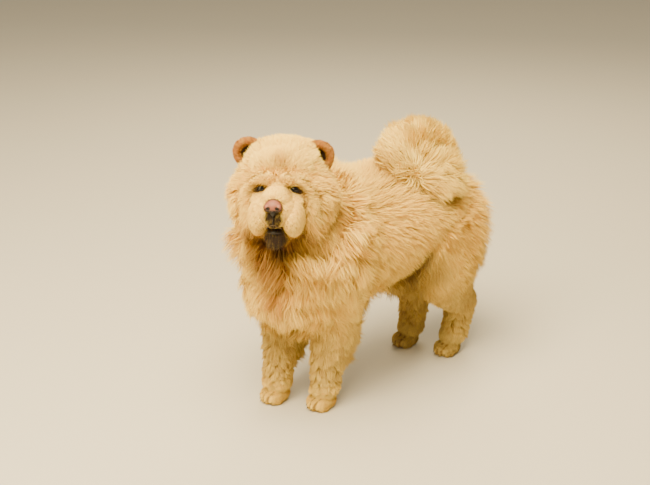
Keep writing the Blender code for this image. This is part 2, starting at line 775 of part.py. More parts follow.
def head_nodes():
    """The head and what is set in it, placed on the dog."""
    head = fuse("head", head_pieces(), HEAD_VOXEL, 5, HEAD_TRIANGLES)
    skin = surface_tree(head)
    made = {"lower_jaw": jaw_piece(), "lips": lips_piece(), "nose": nose_piece()}
    for side, sign in SIDES.items():
        made["ear_" + side] = ear_piece(sign)
    cut_by(head, swollen(made["lips"]))
    for name, piece in made.items():
        if name != "lips":
            cut_by(piece, swollen(head))
    for side, sign in SIDES.items():
        cut_by(head, ball(eye_at(sign) + Vector((0, -0.004, 0)), (0.0150, 0.0130, 0.0105), rings=6))
        for rise in (0.0066, -0.0062):
            add_to(head, lid(sign, rise))
        eye = ball(eye_at(sign), (EYE_RADIUS,) * 3, rings=6)
        cut_by(head, swollen(eye))
        made["eye_" + side] = eye
    made["head"] = head
    give_locks(made, ["head"], cheek_locks(skin, random.Random(SEED)))
    for piece in made.values():
        piece.data.transform(head_place())
    return made


def head_hollow():
    """The room that the neck leaves for the head, its ears and its jaw."""
    pieces = head_pieces() + [jaw_piece()] + [ear_piece(sign) for sign in SIDES.values()]
    room = fuse("room", pieces, BODY_VOXEL, 0, HOLLOW_TRIANGLES)
    room.data.transform(head_place())
    wider = swollen(room, HOLLOW_GAP)
    bpy.data.objects.remove(room)
    return wider


def paw_nodes():
    """The four paws with their claws."""
    made = {}
    for end, paws in (("front", FRONT_PAWS), ("hind", HIND_PAWS)):
        for side in SIDES:
            name = end + "_paw_" + side
            paw = paw_whole(name, paws[side], TOE_SPREAD[end], 1 if end == "hind" else 0.3)
            for number, place in enumerate(toe_places(), 1):
                nail = cut_by(claw(paws[side], TOE_SPREAD[end], place), swollen(paw))
                made["claw_%s_%s_%d" % (end, side, number)] = nail
            made[name] = paw
    return made


def body_nodes():
    """Torso, neck and legs, parted by thin cuts."""
    torso = fuse("torso", body_pieces(), BODY_VOXEL, 5, BODY_TRIANGLES)
    skin = surface_tree(torso)
    cut_by(torso, block((-0.5, -0.6, -0.2), (0.5, 0.6, PAW_TOP)))
    cut_by(torso, head_hollow())
    made = {"torso": torso}
    collar = Vector((0, -0.10, 0.445))
    made["neck"] = part_off(torso, "neck", (-0.3, -0.60, 0.445), (0.3, 0.1, 0.9), lean("X", 42), collar)
    for side, sign in SIDES.items():
        low, high = sorted_box((0.001 * sign, -0.4, -0.1), (0.2 * sign, 0.02, 0.205))
        made["front_leg_" + side] = part_off(torso, "front_leg_" + side, low, high)
        low, high = sorted_box((0.035 * sign, 0.080, -0.3), (0.3 * sign, 0.45, 0.385))
        about = Vector((0.035 * sign, 0.22, 0.25))
        thigh = part_off(torso, "thigh_" + side, low, high, lean("Y", 16 * sign), about)
        made["thigh_" + side] = thigh
        made["hind_leg_" + side] = part_off(thigh, "hind_leg_" + side, (-0.3, 0.0, -0.3), (0.3, 0.6, 0.185))
    give_locks(made, list(made), body_locks(skin, random.Random(SEED)))
    cut_by(made["neck"], head_hollow())
    return made


def surface_tree(made):
    points = [v.co for v in made.data.vertices]
    return BVHTree.FromPolygons(points, [p.vertices for p in made.data.polygons])


def keep_clear(nodes, order):
    """Where two nodes meet, the one later in the order gives way by the gap."""
    ranked = sorted(nodes, key=lambda name: order.index(name.split("_")[0]))
    for number, name in enumerate(ranked):
        for other in ranked[:number]:
            for times in (1, 2, 3):
                if surface_tree(nodes[name]).overlap(surface_tree(nodes[other])):
                    cut_by(nodes[name], swollen(nodes[other], times * GAP))


def sorted_box(one, other):
    low = tuple(min(a, b) for a, b in zip(one, other))
    high = tuple(max(a, b) for a, b in zip(one, other))
    return low, high


def build():
    clear_scene()
    nodes = head_nodes()
    nodes.update(body_nodes())
    nodes.update(paw_nodes())
    tail = tail_whole()
    skin = surface_tree(tail)
    nodes["tail_plume"] = tail
    nodes["tail_base"] = part_off(tail, "tail_base", (-0.3, 0.212, 0.3), (0.3, 0.5, 0.535))
    give_locks(nodes, ["tail_plume", "tail_base"], tail_locks(skin, random.Random(SEED)))
    keep_clear(nodes, GIVING_WAY)
    finishes = {
        "coat": finish_material("cream coat", CREAM, 0.9),
        "pale": finish_material("pale coat", PALE_CREAM, 0.9),
        "ear": finish_material("tan ear fur", TAN, 0.85),
        "nose": finish_material("nose leather", NOSE_PINK, 0.45),
        "jaw": finish_material("black lip skin", LIP_BLACK, 0.5),
        "eye": finish_material("eye", EYE_BROWN, 0.08),
        "claw": finish_material("claw horn", CLAW_HORN, 0.4),
    }
    words = {"ear": "ear", "nose": "nose", "lips": "jaw", "lower": "jaw", "eye": "eye", "claw": "claw"}
    words.update({"head": "pale", "front": "pale", "hind": "pale"})
    for name, made in nodes.items():
        made.name = name
        made.data.name = name
        made.data.materials.clear()
        made.data.materials.append(finishes[words.get(name.split("_")[0], "coat")])
    shift_to_ground_middle(nodes.values())


def shift_to_ground_middle(pieces):
    """Moves everything so that the middle of the box's floor is the origin."""
    points = [v.co for piece in pieces for v in piece.data.vertices]
    low = [min(p[i] for p in points) for i in range(3)]
    high = [max(p[i] for p in points) for i in range(3)]
    shift = Vector((-(low[0] + high[0]) / 2, -(low[1] + high[1]) / 2, -low[2]))
    for piece in pieces:
        piece.data.transform(Matrix.Translation(shift))
    return shift


build()
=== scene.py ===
"""A life-size chow chow that stands with its head turned: skin, coat, eyes, nose, lips and a pale studio.

Metres, +Z up, +X the dog's left, -Y the way that its chest faces. The flesh is the
dog without its coat, and the coat's tufts stand on it out to a second form with the coat's depth added.
"""

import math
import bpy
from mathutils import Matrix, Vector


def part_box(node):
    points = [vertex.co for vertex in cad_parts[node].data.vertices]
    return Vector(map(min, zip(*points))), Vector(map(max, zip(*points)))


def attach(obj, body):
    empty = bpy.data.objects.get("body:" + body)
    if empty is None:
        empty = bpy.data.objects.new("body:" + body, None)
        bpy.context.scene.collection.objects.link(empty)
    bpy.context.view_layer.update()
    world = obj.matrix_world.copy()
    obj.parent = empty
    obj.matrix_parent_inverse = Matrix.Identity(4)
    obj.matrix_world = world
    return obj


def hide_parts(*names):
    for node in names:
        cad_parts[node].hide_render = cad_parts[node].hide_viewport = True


bl_info = {
    "name": "Chow chow",
    "version": (1, 0, 0),
    "blender": (4, 5, 0),
    "location": "3D View > Sidebar > Chow chow",
    "description": "Builds a life-size chow chow with its coat, on a pale studio floor",
    "category": "Add Mesh",
}

from collections import namedtuple

import bmesh
import bpy
import numpy as np
from bpy.props import FloatProperty, FloatVectorProperty, PointerProperty, StringProperty
from mathutils import Matrix, Vector
from mathutils.bvhtree import BVHTree
from mathutils.kdtree import KDTree

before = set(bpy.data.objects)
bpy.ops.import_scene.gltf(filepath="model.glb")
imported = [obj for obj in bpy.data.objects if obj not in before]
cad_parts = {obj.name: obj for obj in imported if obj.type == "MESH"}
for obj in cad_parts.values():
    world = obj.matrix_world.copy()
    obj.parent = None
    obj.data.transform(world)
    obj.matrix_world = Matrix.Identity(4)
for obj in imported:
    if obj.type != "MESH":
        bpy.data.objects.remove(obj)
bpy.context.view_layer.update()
BODY = "root"

# The flesh without its coat, in the dog's own frame
BACK_HEIGHT = 0.490
BELLY_HEIGHT = 0.300
CHEST_HALF_WIDTH = 0.105
ELBOW_HEIGHT = 0.235
HOCK_HEIGHT = 0.135
LEG_RADIUS = 0.025
FRONT_PAWS = {"left": Vector((0.050, -0.172, 0)), "right": Vector((-0.047, -0.232, 0))}
HIND_PAWS = {"left": Vector((0.050, 0.250, 0)), "right": Vector((-0.055, 0.205, 0))}
SIDES = {"left": 1, "right": -1}
TOE_SPREAD = {"front": 0.0190, "hind": 0.0175}
HEAD_AT = Vector((0.041, -0.275, 0.563))
HEAD_TURN = math.radians(43)
HEAD_LIFT = math.radians(13)
EYE_SPACING = 0.0345
EYE_FORWARD = 0.0800
EYE_SLANT = math.radians(26)
NOSE_AT = Vector((0, -0.1500, -0.0290))
TAIL_LINE = (
    Vector((0.000, 0.210, 0.435)),
    Vector((0.004, 0.228, 0.500)),
    Vector((0.010, 0.200, 0.553)),
    Vector((0.020, 0.142, 0.573)),
    Vector((0.038, 0.076, 0.560)),
    Vector((0.068, 0.072, 0.526)),
    Vector((0.088, 0.110, 0.498)),
    Vector((0.095, 0.165, 0.485)),
)
TAIL_RADIUS = 0.018
TAIL_COAT = 0.042
CURL_MIDDLE = Vector((0.045, 0.150, 0.515))
CURL_CORE = (0.030, 0.052, 0.042)
PLUME_FOOT = np.array((0.070, 0.105, 0.488))
# Line where the tail lies over the back: painted shadow darkens the coat along it
TAIL_CREASE = (
    (0.048, 0.044, 0.540),
    (0.078, 0.076, 0.500),
    (0.105, 0.120, 0.474),
    (0.116, 0.165, 0.462),
)
SKULL_AT = (0, 0.012, 0.026)
SKULL_RADII = (0.080, 0.079, 0.059)
EAR_BASES = {1: Vector((0.0645, 0.004, 0.0565)), -1: Vector((-0.0680, 0.004, 0.0590))}
CUP_WIDTH = 0.0190
CUP_HEIGHT = 0.0205
CUP_RISE = 0.0050
UP = Vector((0, 0, 1))
BACK = Vector((0, 1, 0))

# Creases of the face in the head's own frame: over each brow roll and down the cheek, and below the eyes
BROW_CREASES = {
    1: ((0.020, -0.104, 0.030), (0.029, -0.100, 0.0255), (0.051, -0.089, 0.0160), (0.066, -0.076, -0.0015),
        (0.0735, -0.066, -0.0174), (0.076, -0.056, -0.047), (0.074, -0.046, -0.072)),
    -1: ((-0.026, -0.102, 0.030), (-0.044, -0.094, 0.0225), (-0.062, -0.083, 0.0110), (-0.075, -0.070, -0.0020),
         (-0.083, -0.060, -0.0200), (-0.086, -0.048, -0.047), (-0.083, -0.040, -0.072)),
}
TEAR_CREASES = {
    sign: ((0.044 * sign, -0.094, -0.006), (0.052 * sign, -0.097, -0.026),
           (0.055 * sign, -0.087, -0.050), (0.053 * sign, -0.073, -0.072))
    for sign in (1, -1)
}

# Mesh fineness of the skin
BODY_VOXEL = 0.0050
HEAD_VOXEL = 0.0020
PAW_VOXEL = 0.0024
REACH_VOXEL = 0.0080
HEAD_REACH_VOXEL = 0.0035
PATCH = 0.003
SEED = 11

Lie = namedtuple("Lie", "flow depth reach stand wave width density")


class ChowSizes(bpy.types.PropertyGroup):
    """Sizes of the eyes and of the coat."""

    eye_radius: FloatProperty(
        name="Eye radius", description="Radius of each eyeball", default=0.0115, unit="LENGTH"
    )
    lid_roll: FloatProperty(
        name="Lid thickness", description="Radius of the roll of each lid", default=0.0015, unit="LENGTH"
    )
    nose_half_width: FloatProperty(
        name="Nose half width", description="Half the width of the nose pad", default=0.0185, unit="LENGTH"
    )
    fullness: FloatProperty(
        name="Fullness", description="Share of the full number of tufts",
        default=0.81, min=0.05, max=1.0, subtype="FACTOR",
    )
    coat_depth: FloatProperty(
        name="Coat depth", description="Share of the coat's full depth", default=1.04, subtype="FACTOR"
    )
    tuft_width: FloatProperty(
        name="Tuft width", description="Share of each tuft's own width", default=1.12, subtype="FACTOR"
    )


class ChowColours(bpy.types.PropertyGroup):
    """Colours of the coat and the bare parts, as sRGB hex values."""

    cream: StringProperty(name="Cream", description="Most of the coat", default="#F3C252")
    pale: StringProperty(name="Pale cream", description="Tips of the coat", default="#FFE376")
    gold: StringProperty(name="Gold", description="Warmer hairs in the coat", default="#E4AC44")
    # Ochre is also painted shadow on the tail's underside and painted shade in the furrow between the brows
    ochre: StringProperty(name="Ochre", description="Saddle and forehead", default="#B4762A")
    # Rust brown: the throat's and tear lines' own staining, and also painted shadow under the tail, painted shade in
    # the brow creases and the darker toe clefts
    stain: StringProperty(name="Rust stain", description="Throat and tear lines", default="#70421C")
    # Grey brown: the belly's own grey and the lips' pale edge, and also painted shade in the flank fold, the groin
    # and low on the legs
    shade: StringProperty(name="Grey brown", description="Belly and inner legs", default="#846A46")
    tan: StringProperty(name="Tan", description="Rim of the ears", default="#B47638")
    # Black brown also paints shade in the deep-set eye sockets, beside the dark lid skin
    dark: StringProperty(name="Black brown", description="Chin, lip line and ear hollows", default="#261811")
    nose: StringProperty(name="Nose", description="Top of the nose pad", default="#A0604F")
    lip: StringProperty(name="Lip", description="Lips and lids", default="#1B1514")
    eye: StringProperty(name="Eye", description="Iris, a dark brown", default="#1C0F09")
    claw: StringProperty(name="Claw", description="Claw horn", default="#6B543B")
    floor: StringProperty(name="Floor", description="Pale studio floor", default="#DAD6CE")


class ChowStage(bpy.types.PropertyGroup):
    """Camera and light."""

    azimuth: FloatProperty(
        name="Azimuth", description="Camera's turn from the front to the dog's left",
        default=math.radians(49), subtype="ANGLE",
    )
    elevation: FloatProperty(
        name="Elevation", description="Camera's height angle", default=math.radians(21.4), subtype="ANGLE"
    )
    distance: FloatProperty(name="Distance", description="Camera to target", default=2.60, unit="LENGTH")
    target: FloatVectorProperty(
        name="Target", description="Point in the middle of the picture",
        default=(0.019, -0.141, 0.392), subtype="XYZ",
    )
    lens: FloatProperty(name="Lens", description="Focal length in millimetres", default=64.2)
    key_power: FloatProperty(name="Key light", description="Power of the key light in watts", default=400.0)
    fill_power: FloatProperty(name="Fill light", description="Power of the fill light in watts", default=60.0)
    rim_power: FloatProperty(name="Rim light", description="Power of the light behind in watts", default=55.0)


def linear(hex_colour):
    """A linear colour with alpha from an sRGB hex value."""
    parts = [int(hex_colour[i : i + 2], 16) / 255 for i in (1, 3, 5)]
    return [p / 12.92 if p <= 0.04045 else ((p + 0.055) / 1.055) ** 2.4 for p in parts] + [1.0]


def add_node(tree, kind, links=None, **settings):
    """One node with its settings, and links from other nodes' outputs into its inputs."""
    node = tree.nodes.new(kind)
    for name, value in settings.items():
        if name.startswith("in_"):
            key = name[3:]
            node.inputs[int(key) if key.isdigit() else key.replace("_", " ")].default_value = value
        else:
            setattr(node, name, value)
    for key, source in (links or {}).items():
        tree.links.new(source, node.inputs[key])
    return node


def new_material(name):
    """An empty material, its node tree and the output of the object's own coordinates."""
    made = bpy.data.materials.new(name)
    made.use_nodes = True
    made.node_tree.nodes.clear()
    return made, made.node_tree, add_node(made.node_tree, "ShaderNodeTexCoord").outputs["Object"]


def close_material(tree, shader, colour):
    tree.links.new(colour, shader.inputs["Base Color"])
    add_node(tree, "ShaderNodeOutputMaterial", {"Surface": shader.outputs[0]})


def mixed(tree, factor, one, other, blend="MIX"):
    """A colour mix. one and other are outputs or plain colours."""
    node = add_node(tree, "ShaderNodeMix", data_type="RGBA", blend_type=blend)
    for key, value in ((0, factor), (6, one), (7, other)):
        if isinstance(value, bpy.types.NodeSocket):
            tree.links.new(value, node.inputs[key])
        else:
            node.inputs[key].default_value = value
    return node.outputs[2]


def toned(tree, colour, value, low, high, dark, light, share=1.0):
    """The colour times a grey that runs from dark to light as the value runs from low to high."""
    tone = add_node(tree, "ShaderNodeMapRange", {"Value": value}, in_1=low, in_2=high, in_3=dark, in_4=light)
    grey = add_node(tree, "ShaderNodeCombineColor", {channel: tone.outputs[0] for channel in range(3)})
    return mixed(tree, share, colour, grey.outputs[0], "MULTIPLY")


MARKS = ("pale", "gold", "ochre", "shade", "tan", "stain", "dark", "muzzle")


def smooth(start, end, x):
    t = np.clip((x - start) / (end - start), 0, 1)
    return t * t * (3 - 2 * t)


def unit(v):
    return v / np.maximum(np.linalg.norm(v, axis=-1, keepdims=True), 1e-9)


def blob(points, centre, radii, core=0.45):
    """1 in the middle of an ellipsoid, fading to 0 at its edge."""
    away = np.linalg.norm((points - np.array(centre)) / np.array(radii), axis=1)
    return 1 - smooth(core, 1.0, away)


def most(*masks):
    """The largest of some masks at each point."""
    return np.maximum.reduce(masks)


def near_line(points, line, radius):
    """1 on a line of points, fading to 0 at the radius."""
    best = np.full(len(points), 1e9)
    for start, end in zip(line[:-1], line[1:]):
        start, end = np.array(start), np.array(end)
        way = end - start
        t = np.clip((points - start) @ way / (way @ way), 0, 1)
        best = np.minimum(best, np.linalg.norm(points - start - t[:, None] * way, axis=1))
    return 1 - smooth(0.35 * radius, radius, best)


def head_place():
    """The head's own frame in the dog's: its nose along -Y, its left along +X, and up along +Z."""
    return Matrix.Translation(HEAD_AT) @ Matrix.Rotation(HEAD_TURN, 4, "Z") @ Matrix.Rotation(-HEAD_LIFT, 4, "X")


def eye_at(sign):
    return Vector((EYE_SPACING * sign, -EYE_FORWARD, 0.0005))


def dog_shift():
    """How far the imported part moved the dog, read from the place of its left eye."""
    low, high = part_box("eye_left")
    return (Vector(low) + Vector(high)) / 2 - head_place() @ eye_at(1)


SHIFT = dog_shift()


def in_head(points):
    """Points of the dog's frame in the head's own frame."""
    back = np.array(head_place().inverted())
    return points @ back[:3, :3].T + back[:3, 3]


def head_ways(ways):
    """Directions of the head's own frame in the dog's."""
    return ways @ np.array(head_place())[:3, :3].T


def mirrored(point, sign):
    return Vector((point[0] * sign, point[1], point[2]))


def coat_with(made, material):
    """The one material of an object, on all its faces."""
    mesh = made.data
    mesh.materials.clear()
    mesh.materials.append(material)
    mesh.polygons.foreach_set("material_index", np.zeros(len(mesh.polygons), dtype=np.int32))
    mesh.update()


def add_object(name, mesh):
    made = bpy.data.objects.new(name, mesh)
    bpy.context.scene.collection.objects.link(made)
    return made


def mesh_of(name, points, faces):
    mesh = bpy.data.meshes.new(name)
    mesh.from_pydata([tuple(p) for p in points], [], faces)
    mesh.update()
    return mesh


def set_values(mesh, name, values):
    """A number on each of a mesh's points, for the materials."""
    layer = mesh.attributes.new(name, "FLOAT", "POINT")
    layer.data.foreach_set("value", values.astype(np.float32))


def evaluated(made):
    """The object's mesh as its modifiers leave it, in place of the object's own."""
    bpy.context.view_layer.update()
    graph = bpy.context.evaluated_depsgraph_get()
    mesh = bpy.data.meshes.new_from_object(made.evaluated_get(graph))
    made.modifiers.clear()
    old = made.data
    made.data = mesh
    bpy.data.meshes.remove(old)
    return made


def ball(centre, radii, coat=0.0, share=0.0, turn=None, rings=14):
    """A closed ellipsoid with a share of its coat. turn is a rotation matrix."""
    radii = [r + coat * share for r in radii]
    mesh = bpy.data.meshes.new("ball")
    work = bmesh.new()
    bmesh.ops.create_uvsphere(work, u_segments=2 * rings, v_segments=rings, radius=1)
    turned = turn.to_4x4() if turn else Matrix()
    work.transform(Matrix.Translation(centre) @ turned @ Matrix.Diagonal((*radii, 1)))
    work.to_mesh(mesh)
    work.free()
    return add_object("ball", mesh)


def along(points, values, share):
    """The point and the values at a share of a smooth line through the points."""
    last = len(points) - 1
    step = min(int(share * last), last - 1)
    t = share * last - step
    ids = [max(step - 1, 0), step, step + 1, min(step + 2, last)]
    weights = (
        0.5 * (-t + 2 * t * t - t**3),
        0.5 * (2 - 5 * t * t + 3 * t**3),
        0.5 * (t + 4 * t * t - 3 * t**3),
        0.5 * (-t * t + t**3),
    )
    point = sum((points[i] * w for i, w in zip(ids, weights)), Vector())
    value = sum(np.array(values[i]) * w for i, w in zip(ids, weights))
    return point, value


def tube(stations, share=0.0, side=Vector((1, 0, 0)), spans=4, sides=24):
    """A closed tube with round ends.

    Each station is a centre, a half width along side, a half depth and the coat's depth.
    """
    points = [Vector(s[0]) for s in stations]
    sizes = [(s[1] + s[3] * share, s[2] + s[3] * share) for s in stations]
    count = spans * (len(points) - 1)
    line = [along(points, sizes, i / count) for i in range(count + 1)]
    rings = []
    for i, (centre, size) in enumerate(line):
        ahead = line[min(i + 1, count)][0] - line[max(i - 1, 0)][0]
        rings.append((centre, ahead.normalized(), size))
    caps = []
    for ring, way_sign in ((rings[0], -1), (rings[-1], 1)):
        centre, way, size = ring
        cap = []
        for share_of_end in (0.92, 0.65):
            lean = math.sqrt(1 - share_of_end**2)
            cap.append((centre + way * way_sign * lean * min(size), way, size * share_of_end))
        caps.append(cap)
    rings = list(reversed(caps[0])) + rings + caps[1]
    coords = []
    for centre, way, size in rings:
        across = (side - way * side.dot(way)).normalized()
        deep = way.cross(across)
        for k in range(sides):
            turn = 2 * math.pi * k / sides
            coords.append(centre + across * size[0] * math.cos(turn) + deep * size[1] * math.sin(turn))
    faces = [tuple(reversed(range(sides)))]
    for r in range(len(rings) - 1):
        for k in range(sides):
            a, b = r * sides + k, r * sides + (k + 1) % sides
            faces.append((a, b, b + sides, a + sides))
    faces.append(tuple(range(len(coords) - sides, len(coords))))
    return add_object("tube", mesh_of("tube", coords, faces))


def join(pieces):
    """All pieces in one mesh, still separate bodies."""
    work = bmesh.new()
    for piece in pieces:
        work.from_mesh(piece.data)
        bpy.data.objects.remove(piece)
    mesh = bpy.data.meshes.new("joined")
    work.to_mesh(mesh)
    work.free()
    return add_object("joined", mesh)


def fuse(name, pieces, voxel, rounds):
    """The pieces melted into one smooth skin."""
    made = join(pieces)
    melt = made.modifiers.new("melt", "REMESH")
    melt.mode = "VOXEL"
    melt.voxel_size = voxel
    ease = made.modifiers.new("ease", "SMOOTH")
    ease.factor = 0.5
    ease.iterations = rounds
    evaluated(made)
    made.name = name
    return made


def cut_by(made, tool):
    step = made.modifiers.new("cut", "BOOLEAN")
    step.operation = "DIFFERENCE"
    step.solver = "MANIFOLD"
    step.object = tool
    evaluated(made)
    bpy.data.objects.remove(tool)
    return made


def body_pieces(share):
    """Trunk, chest, neck and legs down to the ankles."""
    middle = (BACK_HEIGHT + BELLY_HEIGHT) / 2
    deep = (BACK_HEIGHT - BELLY_HEIGHT) / 2
    wide = CHEST_HALF_WIDTH
    trunk = [
        ((0, -0.225, middle - 0.012), 0.63 * wide, 0.78 * deep, 0.054),
        ((0, -0.150, middle - 0.006), 0.88 * wide, 1.03 * deep, 0.054),
        ((0, -0.060, middle - 0.004), 1.00 * wide, 1.05 * deep, 0.054),
        ((0, 0.030, middle + 0.002), 1.00 * wide, 0.98 * deep, 0.054),
        ((0, 0.110, middle + 0.012), 0.93 * wide, 0.86 * deep, 0.052),
        ((0, 0.180, middle + 0.014), 0.88 * wide, 0.78 * deep, 0.048),
        ((0, 0.230, middle - 0.004), 0.70 * wide, 0.66 * deep, 0.042),
    ]
    neck = [
        ((0.000, -0.120, 0.405), 0.074, 0.078, 0.074),
        ((0.006, -0.190, 0.446), 0.068, 0.068, 0.086),
        ((0.026, -0.238, 0.504), 0.060, 0.056, 0.076),
        ((0.036, -0.252, 0.548), 0.050, 0.048, 0.034),
    ]
    pieces = [
        tube(trunk, share),
        tube(neck, share),
        ball((0, -0.240, 0.325), (0.068, 0.040, 0.072), 0.052, share),
        ball((0, 0.100, 0.272), (0.022, 0.046, 0.052), 0.020, share),
    ]
    for side, sign in SIDES.items():
        pieces += front_leg_pieces(FRONT_PAWS[side], sign, share)
        pieces += hind_leg_pieces(HIND_PAWS[side], sign, share)
    return pieces


def front_leg_pieces(paw, sign, share):
    shoulder = Vector((0.080 * sign, -0.150, 0.350))
    elbow = Vector((0.066 * sign, (paw.y - 0.150) / 2 + 0.010, ELBOW_HEIGHT))
    wrist = Vector((paw.x, paw.y + 0.006, 0.085))
    heel = Vector((paw.x, paw.y, 0.030))
    leg = [
        (shoulder.lerp(elbow, 0.3), 0.042, 0.052, 0.022),
        (elbow, 0.036, 0.042, 0.022),
        (elbow.lerp(wrist, 0.5), 0.027, 0.030, 0.018),
        (wrist, LEG_RADIUS, LEG_RADIUS, 0.010),
        (heel, LEG_RADIUS, LEG_RADIUS, 0.008),
    ]
    feathers = [
        (elbow + Vector((0, 0.030, 0.010)), 0.014, 0.022, 0.036),
        (elbow.lerp(wrist, 0.42) + Vector((0, 0.034, 0)), 0.004, 0.014, 0.032),
        (elbow.lerp(wrist, 0.85) + Vector((0, 0.018, 0)), 0.004, 0.010, 0.018),
    ]
    return [ball(shoulder, (0.042, 0.056, 0.086), 0.022, share), tube(leg, share), tube(feathers, share)]


def hind_leg_pieces(paw, sign, share):
    hip = Vector((0.068 * sign, 0.190, 0.360))
    knee = Vector((0.074 * sign, 0.5 * paw.y + 0.077, 0.240))
    hock = Vector((paw.x * 1.05, paw.y + 0.026, HOCK_HEIGHT))
    ankle = Vector((paw.x, paw.y + 0.018, 0.060))
    heel = Vector((paw.x, paw.y + 0.012, 0.028))
    leg = [
        (hip, 0.036, 0.068, 0.040),
        (knee, 0.036, 0.056, 0.028),
        (knee.lerp(hock, 0.62), 0.028, 0.032, 0.017),
        (hock, 0.024, 0.028, 0.014),
        (ankle, 0.023, 0.025, 0.010),
        (heel, 0.023, 0.025, 0.008),
    ]
    breeches = ball((0.064 * sign, 0.222, 0.340), (0.038, 0.050, 0.078), 0.044, share)
    return [breeches, tube(leg, share)]


def head_pieces(share):
    """Skull, cheeks, padded muzzle, jaw, brow rolls and cheek folds, in the head's own frame."""
    pieces = [
        ball(SKULL_AT, SKULL_RADII, 0.015, share),
        ball((0, -0.046, 0.032), (0.056, 0.036, 0.038), 0.010, share),
        ball((0, -0.012, -0.050), (0.046, 0.048, 0.036), 0.034, share),
        ball((0, -0.100, -0.020), (0.031, 0.048, 0.026), 0.003, share),
        ball((0, -0.090, 0.004), (0.018, 0.019, 0.018), 0.003, share),
        ball((0, -0.098, -0.040), (0.0445, 0.0515, 0.0335), 0.0035, share),
        ball((0, -0.132, -0.046), (0.0200, 0.0150, 0.0250), 0.002, share),
        tube([((0, -0.030, -0.085), 0.024, 0.016, 0), ((0, -0.108, -0.086), 0.017, 0.012, 0)]),
    ]
    for sign in SIDES.values():
        pieces.append(ball(mirrored((0.046, 0.000, -0.020), sign), (0.036, 0.050, 0.050), 0.036, share))
        pieces.append(ball(mirrored((0.0345, -0.103, -0.056), sign), (0.0210, 0.036, 0.0340), 0.003, share))
        pieces.append(ball(mirrored((0.033, -0.083, -0.024), sign), (0.023, 0.028, 0.017), 0.003, share))
        brow = [
            (mirrored((0.0115, -0.098, 0.020), sign), 0.0100, 0.0095, 0.003),
            (mirrored((0.0270, -0.0950, 0.0225), sign), 0.0120, 0.0115, 0.0035),
            (mirrored((0.046, -0.082, 0.013), sign), 0.0135, 0.0125, 0.0035),
            (mirrored((0.058, -0.068, -0.008), sign), 0.0145, 0.0135, 0.0035),
            (mirrored((0.062, -0.058, -0.040), sign), 0.0145, 0.0125, 0.0035),
            (mirrored((0.060, -0.050, -0.070), sign), 0.0120, 0.0100, 0.003),
        ]
        pieces.append(tube(brow, share, side=BACK, sides=16))
        pieces.append(ball(eye_at(sign) + Vector((0, 0.0015, 0)), (0.0180, 0.0138, 0.0140), 0, share))
    return pieces


def ear_frame(sign):
    """The ear's middle and its three directions: along its base, up to its tip and out of its cup."""
    along_base = mirrored((0.70, 0.10, -0.70), sign).normalized()
    rise = mirrored((0.66, -0.22, 0.72), sign)
    rise = (rise - along_base * rise.dot(along_base)).normalized()
    return EAR_BASES[sign] + rise * 0.004, along_base, rise, along_base.cross(rise) * sign


def ear_piece(sign):
    """A small thick ear with a round tip and a cupped front."""
    middle, along_base, rise, front = ear_frame(sign)
    turn = Matrix((along_base, rise, along_base.cross(rise))).transposed()
    shell = ball(middle, (0.0300, 0.0340, 0.0095), turn=turn, rings=16)
    cup_at = middle + front * 0.0095 + rise * CUP_RISE
    cup = ball(cup_at, (CUP_WIDTH, CUP_HEIGHT, 0.0120), turn=turn, rings=16)
    return cut_by(shell, cup)


def paw_pieces(paw, spread, back):
    ankle = paw + Vector((0, 0.018 * back, 0.075))
    heel = paw + Vector((0, 0.008 * back, 0.030))
    shin = [(ankle, 0.024, 0.025, 0), (heel, 0.022, 0.023, 0)]
    pieces = [tube(shin, sides=20), ball(paw + Vector((0, 0.000, 0.019)), (0.0255, 0.0285, 0.0215))]
    for k in range(4):
        place = (k - 1.5) / 1.5
        spot = paw + Vector((place * spread, -0.026 + 0.009 * place * place, 0.0150))
        turn = Matrix.Rotation(math.radians(-12 * place), 3, "Z")
        pieces.append(ball(spot, (0.0090, 0.0165, 0.0145), turn=turn))
    return pieces


def tail_piece(share):
    stations = []
    for k, centre in enumerate(TAIL_LINE):
        thin = 1 - 0.3 * (k / (len(TAIL_LINE) - 1)) ** 3
        stations.append((centre, TAIL_RADIUS * thin, TAIL_RADIUS * thin, TAIL_COAT * thin))
    return tube(stations, share, sides=18)


def surface_tree(made):
    points = [v.co for v in made.data.vertices]
    return BVHTree.FromPolygons(points, [p.vertices for p in made.data.polygons])


def reach_trees():
    """How far the coat stands out on body, tail and head, as surfaces to measure against."""
    trees = {}
    for name, pieces, voxel, place in (
        ("body", body_pieces(1.0), REACH_VOXEL, None),
        ("tail", [tail_piece(1.0)], REACH_VOXEL, None),
        ("head", head_pieces(1.0), HEAD_REACH_VOXEL, head_place()),
    ):
        form = fuse("reach", pieces, voxel, 3)
        if place:
            form.data.transform(place)
        trees[name] = surface_tree(form)
        bpy.data.objects.remove(form)
    return trees


